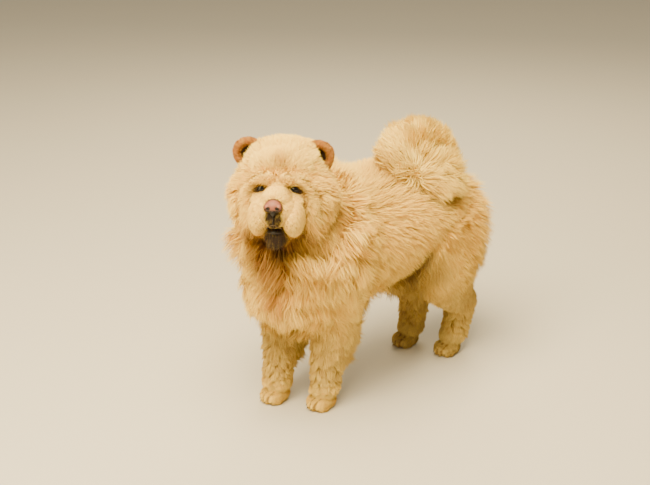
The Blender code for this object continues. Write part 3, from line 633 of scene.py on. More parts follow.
def skin_groups():
    """The flesh as four groups: body, tail, paws and head, each smooth and in the dog's frame."""
    body = fuse("body", body_pieces(0.0), BODY_VOXEL, 4)
    tail = fuse("tail", [tail_piece(0.0), ball(CURL_MIDDLE, CURL_CORE)], BODY_VOXEL * 0.8, 2)
    paws = []
    for spread, feet, back in ((TOE_SPREAD["front"], FRONT_PAWS, 0.3), (TOE_SPREAD["hind"], HIND_PAWS, 1)):
        for side in SIDES:
            paws += paw_pieces(feet[side], spread, back)
    paws = fuse("paws", paws, PAW_VOXEL, 2)
    for corner in paws.data.vertices:
        corner.co.z = max(corner.co.z, 0.0)
    head = fuse("head", head_pieces(0.0) + [ear_piece(sign) for sign in SIDES.values()], HEAD_VOXEL, 3)
    for sign in SIDES.values():
        slant = Matrix.Rotation(EYE_SLANT * sign, 3, "Y")
        cut_by(head, ball(eye_at(sign) + Vector((0, -0.008, 0)), (0.0098, 0.0140, 0.0058), turn=slant))
        for crease, deep in ((BROW_CREASES[sign], 0.0050), (TEAR_CREASES[sign], 0.0038)):
            fine = [0.3 * deep] + [deep] * (len(crease) - 2) + [0.3 * deep]
            groove = [(Vector(spot), r, r, 0) for spot, r in zip(crease, fine)]
            cut_by(head, tube(groove, side=BACK, sides=14))
    head.data.transform(head_place())
    return {"body": body, "tail": tail, "paws": paws, "head": head}


def tail_ways(points):
    """For each point the share along the tail's line, the way ahead there and the distance from it."""
    count = 80
    line = np.array([along(TAIL_LINE, [(0,)] * len(TAIL_LINE), k / count)[0] for k in range(count + 1)])
    ways = unit(np.gradient(line, axis=0))
    away = np.linalg.norm(points[:, None, :] - line[None, :, :], axis=2)
    nearest = away.argmin(axis=1)
    return nearest / count, ways[nearest], away[np.arange(len(points)), nearest]


def markings(points, group):
    """The colour masks of skin and coat at points of the dog's frame."""
    x, y, z = points.T
    h = in_head(points)
    folded = np.column_stack((np.abs(h[:, 0]), h[:, 1], h[:, 2]))
    marks = {key: np.zeros(len(points)) for key in MARKS}
    if group == "tail":
        marks["pale"] = np.full(len(points), 1.0)
        # Painted shadow on the tail's underside, where it lies over the back
        marks["ochre"] = 0.40 * near_line(points, TAIL_CREASE, 0.026)
        marks["gold"] = 0.35 * blob(points, (0.075, 0.110, 0.490), (0.060, 0.070, 0.040), 0.3)
        return marks
    centre = 0.056 + 0.10 * (z - 0.30)
    half = 0.032 + 0.40 * np.maximum(z - 0.30, 0)
    vee = (1 - smooth(0.2, 1.0, np.abs(x - centre) / half)) * smooth(0.25, 0.31, z) * smooth(-0.12, -0.20, y)
    vee *= 1 - smooth(0.485, 0.530, z)
    marks["ochre"] = most(
        0.80 * blob(h, (0.002, -0.088, 0.056), (0.026, 0.035, 0.030), 0.1),
        # Painted shade in the furrow between the brow rolls
        0.75 * near_line(h, [(0, -0.100, 0.045), (0, -0.112, 0.016)], 0.009),
        0.60 * blob(points, (0.040, 0.040, 0.520), (0.070, 0.065, 0.055), 0.2),
        0.80 * vee,
    )
    marks["gold"] = most(
        0.40 * blob(points, (-0.005, 0.075, 0.500), (0.110, 0.120, 0.090), 0.1),
        0.45 * blob(points, (0.105, -0.150, 0.540), (0.060, 0.080, 0.060), 0.1),
    )
    stain = [
        # Painted shadow that the tail casts on the back along its crease
        0.85 * near_line(points, TAIL_CREASE, 0.040),
        0.95 * blob(points, (0.040, -0.285, 0.425), (0.085, 0.100, 0.075), 0.35),
        0.90 * blob(folded, (0.050, -0.055, -0.108), (0.044, 0.060, 0.034), 0.4),
    ]
    dark = [
        0.95 * blob(folded, (0, -0.150, -0.054), (0.0195, 0.030, 0.030), 0.65),
        1.00 * blob(folded, (0, -0.105, -0.100), (0.027, 0.062, 0.036), 0.75),
        0.90 * blob(folded, (0, -0.060, -0.135), (0.036, 0.060, 0.045), 0.2),
        0.65 * blob(h, (0.046, -0.040, -0.112), (0.036, 0.045, 0.024), 0.3),
        0.75 * blob(points, (0.046, -0.285, 0.425), (0.034, 0.060, 0.040), 0.1),
    ]
    for sign in SIDES.values():
        away = h - np.array(eye_at(sign)) - (0.0010 * sign, -0.006, -0.0008)
        oval = eye_oval(away, sign, 0.0125, 0.0078)
        facing = h[:, 1] < -0.060
        # Dark lid skin, and painted shade of the deep-set socket, in a ring round each eye
        dark.append(0.95 * (1 - smooth(0.80, 1.35, oval)) * facing)
        stain += [
            near_line(h, TEAR_CREASES[sign], 0.0075),
            # Painted shade in the creases over the brow rolls
            0.70 * near_line(h, BROW_CREASES[sign], 0.0070),
            # Brown round and below each eye: partly tear staining, partly painted shade of the deep-set socket
            0.70 * (1 - smooth(1.2, 2.2, oval)) * facing * (away[:, 2] < 0.012),
        ]
    marks["tan"], hollow = ear_marks(h)
    marks["dark"] = most(hollow, *dark)
    marks["stain"] = most(*stain)
    marks["shade"] = most(
        # The belly's own grey
        0.60 * smooth(0.34, 0.24, z) * smooth(0.14, 0.05, np.abs(x)) * smooth(-0.14, -0.04, y),
        # Painted shade in the fold between the belly and the left thigh
        0.90 * near_line(points, [(0.105, 0.085, 0.330), (0.085, 0.060, 0.270), (0.060, 0.090, 0.240)], 0.040),
        # Painted shade low on the legs
        0.50 * smooth(0.28, 0.16, z) * smooth(0.03, 0.08, z),
        # Painted shade in the left groin
        0.45 * blob(points, (0.110, 0.130, 0.270), (0.060, 0.060, 0.060), 0.2),
    )
    marks["pale"] = 0.60 * smooth(0.40, 0.50, z) * smooth(-0.20, -0.10, y)
    if group == "head":
        marks["pale"] = 0.45 * smooth(0.0, 0.05, h[:, 2])
    if group == "paws":
        gaps = toe_gaps(points)
        # Darker brown in the clefts between the toes, paler on the toes
        marks["stain"] = most(marks["stain"], 0.75 * gaps)
        marks["pale"] = 0.5 * (1 - gaps)
    marks["muzzle"] = blob(folded, (0.026, -0.132, -0.062), (0.020, 0.028, 0.024), 0.6)
    return marks


def off_skull(h):
    """1 on the bare skull, and more the further out a point is."""
    return np.linalg.norm((h - SKULL_AT) / SKULL_RADII, axis=1)


def toe_gaps(points):
    """1 in the clefts between the toes, 0 on the toes."""
    gaps = np.zeros(len(points))
    for feet, spread in ((FRONT_PAWS, TOE_SPREAD["front"]), (HIND_PAWS, TOE_SPREAD["hind"])):
        for paw in feet.values():
            x, y = points[:, 0] - paw.x, points[:, 1] - paw.y
            on_paw = (np.abs(x) < 0.035) * smooth(-0.010, -0.020, y) * (y > -0.06)
            for cleft in (-0.67, 0.0, 0.67):
                gaps = np.maximum(gaps, on_paw * (1 - smooth(0.0012, 0.0034, np.abs(x - cleft * spread))))
    return gaps


def in_ear(h, sign):
    """Offsets from an ear's middle: as they are, along its base, along its rise and out of its cup."""
    middle, along_base, rise, front = (np.array(v) for v in ear_frame(sign))
    local = h - middle
    return local, local @ along_base, local @ rise, local @ front


def cup_oval(a, b):
    """How far out in an ear's cup a point lies: 1 on its edge."""
    return np.hypot(a / CUP_WIDTH, (b - CUP_RISE) / CUP_HEIGHT)


def eye_oval(away, sign, half_width, half_height):
    """How far out in an eye's slanted oval a point lies: 1 on its edge."""
    lean, tilt = math.cos(EYE_SLANT), math.sin(EYE_SLANT) * sign
    wide = away[:, 0] * lean - away[:, 2] * tilt
    tall = away[:, 0] * tilt + away[:, 2] * lean
    return np.hypot(wide / half_width, tall / half_height)


def ear_marks(h):
    """Tan on the ears' rims, and black brown in their hollows."""
    tan = np.zeros(len(h))
    hollow = np.zeros(len(h))
    for sign in SIDES.values():
        _, a, b, c = in_ear(h, sign)
        on_ear = 1 - smooth(1.00, 1.30, np.hypot(a / 0.034, b / 0.038))
        on_ear *= 1 - smooth(0.016, 0.022, np.abs(c))
        on_ear *= smooth(1.03, 1.10, off_skull(h))
        tan = np.maximum(tan, on_ear * smooth(-0.012, -0.002, c))
        tan = np.maximum(tan, 0.60 * on_ear)
        deep = 1 - smooth(0.75, 1.05, cup_oval(a, b))
        hollow = np.maximum(hollow, deep * smooth(-0.006, -0.003, c) * (c < 0.012) * (off_skull(h) > 1.0))
    return tan, hollow


def ray_depths(tree, points, normals, deepest, fallback):
    """Distance from each point along its normal out to the surface."""
    found = np.full(len(points), fallback)
    for i, (point, normal) in enumerate(zip(points.tolist(), normals.tolist())):
        hit = tree.ray_cast(point, normal, deepest)
        if hit[0] is not None:
            found[i] = hit[3]
    return found


def over(values, mask, new):
    """values, replaced by new as far as the mask says."""
    mask = mask if np.ndim(values) == 1 else mask[:, None]
    return values * (1 - mask) + np.asarray(new) * mask


def layered(values, *layers):
    """The values, replaced by one layer after the other: each is a mask and its new values."""
    for mask, new in layers:
        values = over(values, mask, new)
    return values


def body_lie(points, normals, depth):
    """Lie of the coat on trunk, neck, chest, legs and belly."""
    x, y, z = points.T
    count = len(points)
    ragged = 0.016 * np.sin(points @ np.array((913.0, 1277.0, 1733.0)))
    z = z + ragged
    away = points - np.array(HEAD_AT)
    away[:, 1] = 0
    away = unit(away)
    ruff = smooth(-0.05, -0.19, y) * smooth(0.24, 0.32, z)
    nape = smooth(0.02, -0.10, y) * smooth(0.47, 0.54, z)
    bib = smooth(-0.19, -0.24, y) * smooth(0.50, 0.42, z)
    hem = smooth(0.33, 0.23, z) * smooth(-0.08, -0.14, y)
    rump = smooth(0.12, 0.22, y) * smooth(0.16, 0.22, z)
    fore = smooth(0.265, 0.20, z) * smooth(-0.02, -0.08, y)
    hind = smooth(0.22, 0.15, z) * smooth(0.06, 0.12, y)
    thigh = smooth(0.05, 0.09, y) * smooth(0.19, 0.13, y) * smooth(0.40, 0.34, z) * smooth(0.19, 0.23, z)
    belly = smooth(-0.55, -0.85, normals[:, 2]) * smooth(-0.12, -0.06, y) * smooth(0.20, 0.24, z)
    behind = smooth(0.1, 0.7, normals[:, 1])
    inward = smooth(0.2, 0.8, -np.sign(x) * normals[:, 0])
    leg = np.maximum(fore, hind)
    feather = fore * behind
    right_ruff = smooth(-0.02, -0.06, x) * smooth(-0.10, -0.16, y) * smooth(0.30, 0.36, z)
    left_ruff = smooth(0.04, 0.09, x) * smooth(-0.04, -0.10, y)
    breeches = smooth(0.19, 0.26, y) * smooth(0.20, 0.27, z) * smooth(0.46, 0.40, z)
    breeches *= smooth(0.12, 0.06, np.abs(x))
    flow = layered(
        np.tile((0.0, 0.50, -0.85), (count, 1)),
        (nape, np.array((0, 0.85, -0.10)) + 0.35 * away),
        (ruff, np.array((0, 0.35, -1.0)) + 0.30 * away),
        (bib, np.column_stack((2.2 * (0.03 - x), np.full(count, 0.05), np.full(count, -1.0)))),
        (rump, (0, 0.25, -1.0)),
        (thigh, (0, 0.10, -1.0)),
        (fore, (0, 0.15, -1.0)),
        (feather, (0, 0.95, -0.60)),
        (hind, (0, 0.30, -1.0)),
        (belly, (0, 0.60, -0.80)),
    )
    reach = layered(
        np.full(count, 0.021),
        (nape, 0.036),
        (ruff, 0.062),
        (hem, 0.046),
        (thigh, 0.046),
        (belly, 0.020),
        (leg, 0.014 + 0.020 * smooth(0.07, 0.20, z)),
        (feather, 0.046 * smooth(0.05, 0.15, z) + 0.010),
        (breeches, 0.050),
    )
    stand = layered(np.full(count, 0.68), (ruff, 0.36), (leg, 0.46))
    thick = 0.0150 + 0.013 * smooth(0.07, 0.22, z)
    depth = over(depth, leg, np.maximum(0.95 * depth, thick) * (1 - 0.30 * inward))
    depth = depth * (1 - 0.38 * hem * (1 - fore)) + 0.028 * breeches
    depth = depth * (1 - 0.15 * right_ruff - 0.08 * left_ruff)
    depth = over(depth, feather, np.maximum(depth, 0.010 + 0.022 * smooth(0.07, 0.18, z)))
    wave = layered(np.full(count, 0.0012), (ruff, 0.0065), (thigh, 0.0075), (leg, 0.0020))
    width = layered(np.full(count, 0.0018), (ruff, 0.0024), (leg, 0.0017))
    density = layered(np.full(count, 0.34), (ruff, 0.40), (leg, 0.50), (belly, 0.18))
    return Lie(flow, depth, reach, stand, wave, width, density)


def tail_lie(points, normals, depth):
    """Lie of the plume: it fans up and over from the foot of the curl, and its tip hangs down and back."""
    share, ways, away = tail_ways(points)
    count = len(points)
    late = smooth(0.66, 0.88, share) * (away < 0.030)
    into = np.array((-0.7027, 0.6108, -0.3649))
    fan = points - PLUME_FOOT
    fan = unit(fan - (fan @ into)[:, None] * into)
    up = fan @ np.array((-0.2754, 0.2394, 0.9311))
    below = smooth(0.30, -0.30, up)
    flow = over(fan + 0.30 * ways, below, (0.25, 0.62, -0.62))
    flow = over(flow, late, (0.10, 0.80, -0.45))
    to_right = normals @ np.array((0.656, 0.755, 0))
    depth = depth * np.interp(to_right, (-1, 0, 1), (1.02, 0.98, 0.82))
    depth = depth * (1 - 0.16 * smooth(0.1, 0.9, normals[:, 2]))
    return Lie(
        flow,
        depth,
        over(np.full(count, 0.040), smooth(0.35, 0.60, share), 0.052),
        np.full(count, 0.60),
        np.full(count, 0.0030),
        np.full(count, 0.0019),
        np.full(count, 0.50),
    )


def paw_lie(points, normals, depth):
    count = len(points)
    flow = np.tile((0.0, -0.25, -0.9), (count, 1))
    flow = over(flow, smooth(0.035, 0.020, points[:, 2]), (0, -0.9, -0.35))
    return Lie(
        flow,
        layered(
            np.full(count, 0.0036), (smooth(0.028, 0.06, points[:, 2]), 0.0130), (toe_gaps(points), 0.0008)
        ),
        over(np.full(count, 0.0070), smooth(0.03, 0.06, points[:, 2]), 0.020),
        np.full(count, 0.25),
        np.full(count, 0.0004),
        np.full(count, 0.0011),
        np.full(count, 0.95) * smooth(0.002, 0.006, points[:, 2]),
    )


def head_lie(points, normals, depth):
    """Lie of the coat on the head: away from the nose, longer towards the cheeks and the crown."""
    h = in_head(points)
    count = len(points)
    side = np.abs(h[:, 0])
    sign = np.sign(h[:, 0])
    folded = np.column_stack((side, h[:, 1], h[:, 2]))
    from_nose = h - np.array(NOSE_AT) - np.array((0, 0.010, 0.012))
    distance = np.linalg.norm(from_nose, axis=1)
    ones = np.ones(count)
    flow = unit(from_nose) + np.array((0, 0.25, 0))
    low = smooth(-0.005, -0.055, h[:, 2])
    flow = over(flow, 0.75 * low, np.column_stack((0.30 * sign, 0.30 * ones, -ones)))
    cheek = smooth(0.052, 0.078, side) * smooth(-0.085, -0.055, h[:, 1]) * smooth(0.045, 0.005, h[:, 2])
    flow = over(flow, cheek, np.column_stack((0.28 * sign, 0.40 * ones, -0.90 * ones)))
    crown = smooth(-0.090, -0.050, h[:, 1]) * smooth(0.030, 0.060, h[:, 2])
    flow = over(flow, crown, np.column_stack((0.8 * sign * smooth(0.0, 0.05, side), 0.7 * ones, 0.3 * ones)))
    under = smooth(-0.070, -0.095, h[:, 2]) * smooth(-0.100, -0.080, h[:, 1])
    beard = np.maximum(blob(h, (0, -0.095, -0.100), (0.026, 0.055, 0.030), 0.6), under)
    flow = over(flow, beard, (0, 0.10, -1.0))
    muzzle = blob(folded, (0.018, -0.118, -0.045), (0.066, 0.068, 0.066), 0.35)
    lower_cheek = smooth(0.040, 0.060, side) * smooth(-0.030, -0.065, h[:, 2]) * smooth(-0.095, -0.065, h[:, 1])
    by_ear = np.zeros(count)
    for number in SIDES.values():
        middle, along_base, rise, front = ear_frame(number)
        spot = middle - rise * 0.024 + front * 0.006
        close = blob(h, spot, (0.042, 0.036, 0.036), 0.5) * (off_skull(h) < 1.06)
        by_ear = np.maximum(by_ear, close)
        flow = over(flow, 0.85 * close, np.array(rise + along_base * -0.15))
    short = 0.0030 + 0.0050 * smooth(0.050, 0.115, distance)
    depth = np.maximum(depth, short)
    depth = over(depth, muzzle, 0.0038)
    depth = depth + 0.007 * crown + 0.006 * crown * smooth(0.025, 0.055, side) + 0.003 * cheek
    depth = over(depth, by_ear, 0.0030)
    depth = over(depth, beard, 0.012)
    reach = layered(
        0.006 + 0.012 * smooth(0.05, 0.12, distance),
        (crown, 0.016),
        (cheek, 0.034),
        (lower_cheek, 0.055),
        (muzzle, 0.0085),
        (beard, 0.030),
        (by_ear, 0.010),
    )
    stand = over(np.full(count, 0.30), np.maximum(cheek, crown), 0.55)
    wave = over(np.full(count, 0.0005), np.maximum(cheek, beard), 0.0035)
    width = over(np.full(count, 0.0015), muzzle, 0.00090)
    density = layered(np.full(count, 0.62), (muzzle, 1.30), (lower_cheek, 0.50))
    for number in SIDES.values():
        local, a, b, c = in_ear(h, number)
        on_ear = (np.hypot(a / 0.032, b / 0.036) < 1.10) & (np.abs(c) < 0.0165) & (off_skull(h) > 1.06)
        inner = on_ear & (c > -0.005) & (cup_oval(a, b) < 0.98)
        flow[on_ear] = np.array(ear_frame(number)[2]) + 0.6 * local[on_ear] / 0.03
        depth[on_ear] = 0.0065
        reach[on_ear] = 0.0100
        stand[on_ear] = 0.4
        width[on_ear] = 0.0010
        density[on_ear] = 1.5
        density[inner] = 0.15
        depth[inner] = 0.0020
        reach[inner] = 0.0060
        crease = most(near_line(h, BROW_CREASES[number], 0.0075), near_line(h, TEAR_CREASES[number], 0.0065))
        depth = over(depth, crease, 0.0015)
        reach = over(reach, crease, 0.0050)
        eye = h - np.array(eye_at(number))
        oval = eye_oval(eye, number, 0.0105, 0.0066)
        facing = h[:, 1] < -0.055
        density[(oval < 1) & facing] = 0
        round_eye = (1 - smooth(0.9, 1.9, oval)) * facing
        eye[:, 1] = 0
        flow = over(flow, 0.8 * round_eye, unit(eye))
        depth = over(depth, round_eye, 0.0014)
        reach = over(reach, 0.6 * round_eye, 0.0035)
    nose = h - np.array(NOSE_AT)
    density[np.linalg.norm(nose / np.array((0.0195, 0.017, 0.0150)), axis=1) < 1] = 0
    return Lie(head_ways(flow), depth, reach, stand, wave, width, density)


LIES = {"body": body_lie, "tail": tail_lie, "paws": paw_lie, "head": head_lie}
DEEPEST = {"body": 0.11, "tail": 0.075, "head": 0.05}
FALLBACK = {"body": 0.004, "tail": 0.030, "head": 0.004}
PAW_COAT = 0.008
LARGEST_PIECE = 190000


def rows(items, name, width, kind=float):
    """One property of all of a mesh's items, in rows."""
    values = np.empty(len(items) * width, dtype=kind)
    items.foreach_get(name, values)
    return values.reshape(-1, width)


class Flesh:
    """The skin's triangles by group, for planting tufts on it."""

    def __init__(self, made, ranges):
        mesh = made.data
        mesh.calc_loop_triangles()
        self.points = rows(mesh.vertices, "co", 3) - np.array(SHIFT)
        self.normals = rows(mesh.vertex_normals, "vector", 3)
        self.corners = rows(mesh.loop_triangles, "vertices", 3, np.int32)
        loops = rows(mesh.loop_triangles, "loops", 3, np.int32)
        self.places = rows(mesh.uv_layers["OFBake"].data, "uv", 2)[loops]
        self.group = {name: self.corners[:, 0] < end for name, (start, end) in ranges.items()}
        for name, (start, end) in ranges.items():
            self.group[name] &= self.corners[:, 0] >= start

    def plant(self, name, keep, density_at, chance):
        """Random roots on a group's triangles: points, normals and places on the unwrap."""
        corners = self.corners[self.group[name]]
        places = self.places[self.group[name]]
        a, b, c = (self.points[corners[:, k]] for k in range(3))
        middles = (a + b + c) / 3
        kept = keep(middles)
        corners, places, a, b, c, middles = (v[kept] for v in (corners, places, a, b, c, middles))
        face_normals = unit(sum(self.normals[corners[:, k]] for k in range(3)))
        areas = np.linalg.norm(np.cross(b - a, c - a), axis=1) / 2
        share = np.cumsum(areas * density_at(middles, face_normals) * 1e6)
        if not len(share):
            return None
        count = int(share[-1])
        ids = np.searchsorted(share, chance.random(count) * share[-1])
        u, v = chance.random(count), chance.random(count)
        flip = u + v > 1
        u[flip], v[flip] = 1 - u[flip], 1 - v[flip]
        weights = np.stack((1 - u - v, u, v), axis=1)
        roots = sum(weights[:, k, None] * self.points[corners[ids, k]] for k in range(3))
        normals = unit(sum(weights[:, k, None] * self.normals[corners[ids, k]] for k in range(3)))
        spots = sum(weights[:, k, None] * places[ids, k] for k in range(3))
        return roots, normals, spots


def spines(roots, normals, lie, phase, steps):
    """The middle lines of tufts, steps first."""
    t = steps[:, None, None]
    flow = unit(lie.flow - normals * np.sum(lie.flow * normals, axis=1)[:, None])
    across = np.cross(normals, flow)
    stand = lie.stand[:, None]
    rise = (1 - stand) * (1 - (1 - t) ** 2) + stand * t
    sway = lie.wave[:, None] * np.sin(phase[:, None] + 2 * math.pi * 1.15 * t) * t
    return roots + normals * lie.depth[:, None] * rise + flow * lie.reach[:, None] * t**1.4 + across * sway


def nearest_seed(points, seeds):
    tree = KDTree(len(seeds))
    for i, seed in enumerate(seeds.tolist()):
        tree.insert(seed, i)
    tree.balance()
    return np.array([tree.find(p)[1] for p in points.tolist()])


def tufts(name, group, planted, lie, chance, steps, clump, pull, material):
    """One coat piece: bent, tapered tufts that gather in clumps, each with its patch of the unwrap."""
    roots, normals, spots = planted
    count = len(roots)
    steps = np.array(steps)
    size = np.minimum(chance.uniform(0.72, 1.02, count) + chance.exponential(0.05, count), 1.35)
    lie = lie._replace(
        depth=lie.depth * np.minimum(size, 1.06),
        reach=lie.reach * size * chance.uniform(0.85, 1.20, count),
        flow=lie.flow + chance.normal(0, 0.26, (count, 3)),
    )
    seeds = chance.choice(count, max(int(count * clump), 1), replace=False)
    nearest = nearest_seed(roots, roots[seeds])
    phases = chance.uniform(0, 2 * math.pi, len(seeds))
    phase = phases[nearest] + chance.normal(0, 0.5, count)
    lines = spines(roots, normals, lie, phase, steps)
    seed_lie = Lie(*(values[seeds] for values in lie))
    seed_lines = spines(roots[seeds], normals[seeds], seed_lie, phases, steps)
    lines += (seed_lines[:, nearest] - lines) * (pull * steps[:, None, None] ** 1.6)
    lines[..., 2] = np.maximum(lines[..., 2], 0.0012)
    ahead = unit(np.gradient(lines, axis=0))
    side = unit(np.cross(ahead, normals[None]))
    up = np.cross(side, ahead)
    roll = chance.normal(0, 0.35, count)[None, :, None]
    side = side * np.cos(roll) + up * np.sin(roll)
    taper = np.interp(steps, (0, 0.35, 0.75, 1.0), (0.75, 1.0, 0.72, 0.0))
    half = 0.5 * lie.width[None, :] * taper[:, None] * chance.uniform(0.7, 1.3, count)[None, :]
    rings = len(steps) - 1
    per = 2 * rings + 1
    coords = np.empty((count, per, 3))
    for k in range(rings):
        coords[:, 2 * k] = lines[k] - side[k] * half[k][:, None]
        coords[:, 2 * k + 1] = lines[k] + side[k] * half[k][:, None]
    coords[:, -1] = lines[-1]
    coords[..., 2] = np.maximum(coords[..., 2], 0.0006)
    faces = []
    for k in range(rings - 1):
        faces += [(2 * k, 2 * k + 1, 2 * k + 3), (2 * k, 2 * k + 3, 2 * k + 2)]
    faces.append((2 * rings - 2, 2 * rings - 1, 2 * rings))
    faces = np.array(faces)
    whole = (faces[None] + per * np.arange(count)[:, None, None]).reshape(-1)
    mesh = bpy.data.meshes.new(name)
    mesh.vertices.add(count * per)
    mesh.vertices.foreach_set("co", (coords + np.array(SHIFT)).reshape(-1))
    mesh.loops.add(len(whole))
    mesh.loops.foreach_set("vertex_index", whole.astype(np.int32))
    mesh.polygons.add(len(whole) // 3)
    mesh.polygons.foreach_set("loop_start", np.arange(0, len(whole), 3, dtype=np.int32))
    mesh.update(calc_edges=True)
    tip = np.append(np.repeat(steps[:-1], 2), 1.0)
    across_patch = np.append(np.tile((-0.4, 0.4), rings), 0.0)
    patch = np.stack((across_patch, tip - 0.5), axis=1) * PATCH
    layer = mesh.uv_layers.new(name="OFBake")
    layer.data.foreach_set("uv", (spots[:, None] + patch[None]).reshape(-1, 2)[whole].reshape(-1))
    hanging = (in_head(roots)[:, 2] < -0.055) if group == "head" else np.full(count, group == "body")
    values = markings(np.where(hanging[:, None], lines[-2], roots), group)
    by_lock = chance.random(len(seeds))[nearest]
    for key, value in values.items():
        set_values(mesh, key, np.repeat(value, per))
    set_values(mesh, "tip", np.tile(tip, count))
    set_values(mesh, "vary", np.repeat(chance.random(count), per))
    set_values(mesh, "lock", np.repeat(by_lock, per))
    mesh.materials.append(material)
    made = add_object(name, mesh)
    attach(made, BODY)
    return made


# Mark, its strength, how far single tufts and locks swing it, and the least of it
MARK_STRENGTHS = (
    ("gold", 0.90, 0.35, 0.65),
    ("ochre", 0.90, 0.35, 0.65),
    ("shade", 0.90, 0.35, 0.65),
    ("tan", 0.95, 0.35, 0.65),
    ("stain", 0.95, 0.35, 0.65),
    ("dark", 1.00, 0.25, 0.78),
)


def hair_material(name, colours, on_skin):
    """Fur: dry keratin hair, so matt with a soft sheen, paler towards its tips, with painted shade darkening its
    roots.
    """
    made, tree, place = new_material(name)
    marks = {
        key: add_node(tree, "ShaderNodeAttribute", attribute_name=key).outputs["Fac"]
        for key in MARKS + ("tip", "vary", "lock")
    }
    both = {0: marks["vary"], 1: marks["lock"]}
    cream, gold, pale = (linear(value) for value in (colours.cream, colours.gold, colours.pale))
    patches = add_node(
        tree, "ShaderNodeTexNoise", {"Vector": place}, in_Scale=17.0, in_Detail=3.0, in_Roughness=0.6
    )
    cloud = add_node(tree, "ShaderNodeMapRange", {"Value": patches.outputs["Fac"]}, in_1=0.40, in_2=0.68)
    colour = cream if on_skin else mixed(tree, marks["tip"], cream, pale)
    hues = add_node(tree, "ShaderNodeMath", both, operation="MULTIPLY")
    warm = add_node(tree, "ShaderNodeMath", {0: hues.outputs[0]}, operation="MULTIPLY", in_1=0.70)
    colour = mixed(tree, warm.outputs[0], colour, gold)
    patchy = add_node(tree, "ShaderNodeMath", {0: cloud.outputs[0]}, operation="MULTIPLY", in_1=0.30)
    colour = mixed(tree, patchy.outputs[0], colour, gold)
    colour = mixed(tree, marks["pale"], colour, pale)
    broken = add_node(tree, "ShaderNodeMath", both, operation="ADD").outputs[0]
    for key, strength, swing, least in MARK_STRENGTHS:
        vary = add_node(tree, "ShaderNodeMath", {0: broken}, operation="MULTIPLY_ADD", in_1=swing, in_2=least)
        amount = add_node(tree, "ShaderNodeMath", {0: marks[key], 1: vary.outputs[0]}, operation="MULTIPLY")
        limit = add_node(
            tree, "ShaderNodeMath", {0: amount.outputs[0]}, operation="MULTIPLY", in_1=strength, use_clamp=True
        )
        colour = mixed(tree, limit.outputs[0], colour, linear(getattr(colours, key)))
    pores = add_node(tree, "ShaderNodeTexVoronoi", {"Vector": place}, in_Scale=230.0)
    dots = add_node(
        tree, "ShaderNodeMapRange", {"Value": pores.outputs["Distance"]}, in_1=0.16, in_2=0.30, in_3=0.75, in_4=0.0
    )
    whiskers = add_node(tree, "ShaderNodeMath", {0: dots.outputs[0], 1: marks["muzzle"]}, operation="MULTIPLY")
    colour = mixed(tree, whiskers.outputs[0], colour, linear(colours.dark))
    shader = add_node(
        tree, "ShaderNodeBsdfPrincipled", in_Roughness=0.75, in_IOR=1.50, in_Specular_IOR_Level=0.30,
        in_Sheen_Weight=0.12, in_Sheen_Roughness=0.5, in_Sheen_Tint=cream,
    )
    if on_skin:
        strands = add_node(tree, "ShaderNodeTexNoise", {"Vector": place}, in_Scale=420.0, in_Detail=2.0)
        rough = add_node(
            tree, "ShaderNodeBump", {"Height": strands.outputs["Fac"]}, in_Strength=0.5, in_Distance=0.0015
        )
        tree.links.new(rough.outputs[0], shader.inputs["Normal"])
    else:
        # Painted shade: each tuft darkens towards its root, to 0.68 of its colour there, less where the coat is pale
        root_shade_share = add_node(tree, "ShaderNodeMath", {0: marks["pale"]}, operation="MULTIPLY_ADD", in_1=-0.75, in_2=1.0)
        colour = toned(tree, colour, marks["tip"], 0.0, 0.55, 0.68, 1.0, root_shade_share.outputs[0])
    close_material(tree, shader, colour)
    return made


def leather_material(colours):
    """Nose leather: moist grained skin, so a soft gloss broken by pebbles about 0.7 mm across."""
    made, tree, place = new_material("moist nose leather")
    dark = add_node(tree, "ShaderNodeAttribute", attribute_name="dark").outputs["Fac"]
    pebbles = add_node(tree, "ShaderNodeTexVoronoi", {"Vector": place}, in_Scale=900.0)
    colour = mixed(tree, dark, linear(colours.nose), linear(colours.lip))
    colour = toned(tree, colour, pebbles.outputs["Distance"], 0.0, 0.8, 1.0, 0.72)
    bump = add_node(
        tree, "ShaderNodeBump", {"Height": pebbles.outputs["Distance"]},
        invert=True, in_Strength=0.5, in_Distance=0.0006,
    )
    shader = add_node(tree, "ShaderNodeBsdfPrincipled", {"Normal": bump.outputs[0]}, in_Roughness=0.38, in_IOR=1.45)
    close_material(tree, shader, colour)
    return made


def lip_material(colours):
    """Lip and lid skin: wet black mucous skin with fine folds, so dark with small bright glints."""
    made, tree, place = new_material("wet black lip skin")
    folds = add_node(tree, "ShaderNodeTexNoise", {"Vector": place}, in_Scale=600.0, in_Detail=3.0)
    edge = add_node(tree, "ShaderNodeAttribute", attribute_name="edge").outputs["Fac"]
    colour = mixed(tree, edge, linear(colours.lip), linear(colours.shade))
    colour = toned(tree, colour, folds.outputs["Fac"], 0.3, 0.7, 0.7, 1.5)
    bump = add_node(tree, "ShaderNodeBump", {"Height": folds.outputs["Fac"]}, in_Strength=0.4, in_Distance=0.0005)
    shader = add_node(tree, "ShaderNodeBsdfPrincipled", {"Normal": bump.outputs[0]}, in_Roughness=0.34, in_IOR=1.40)
    close_material(tree, shader, colour)
    return made


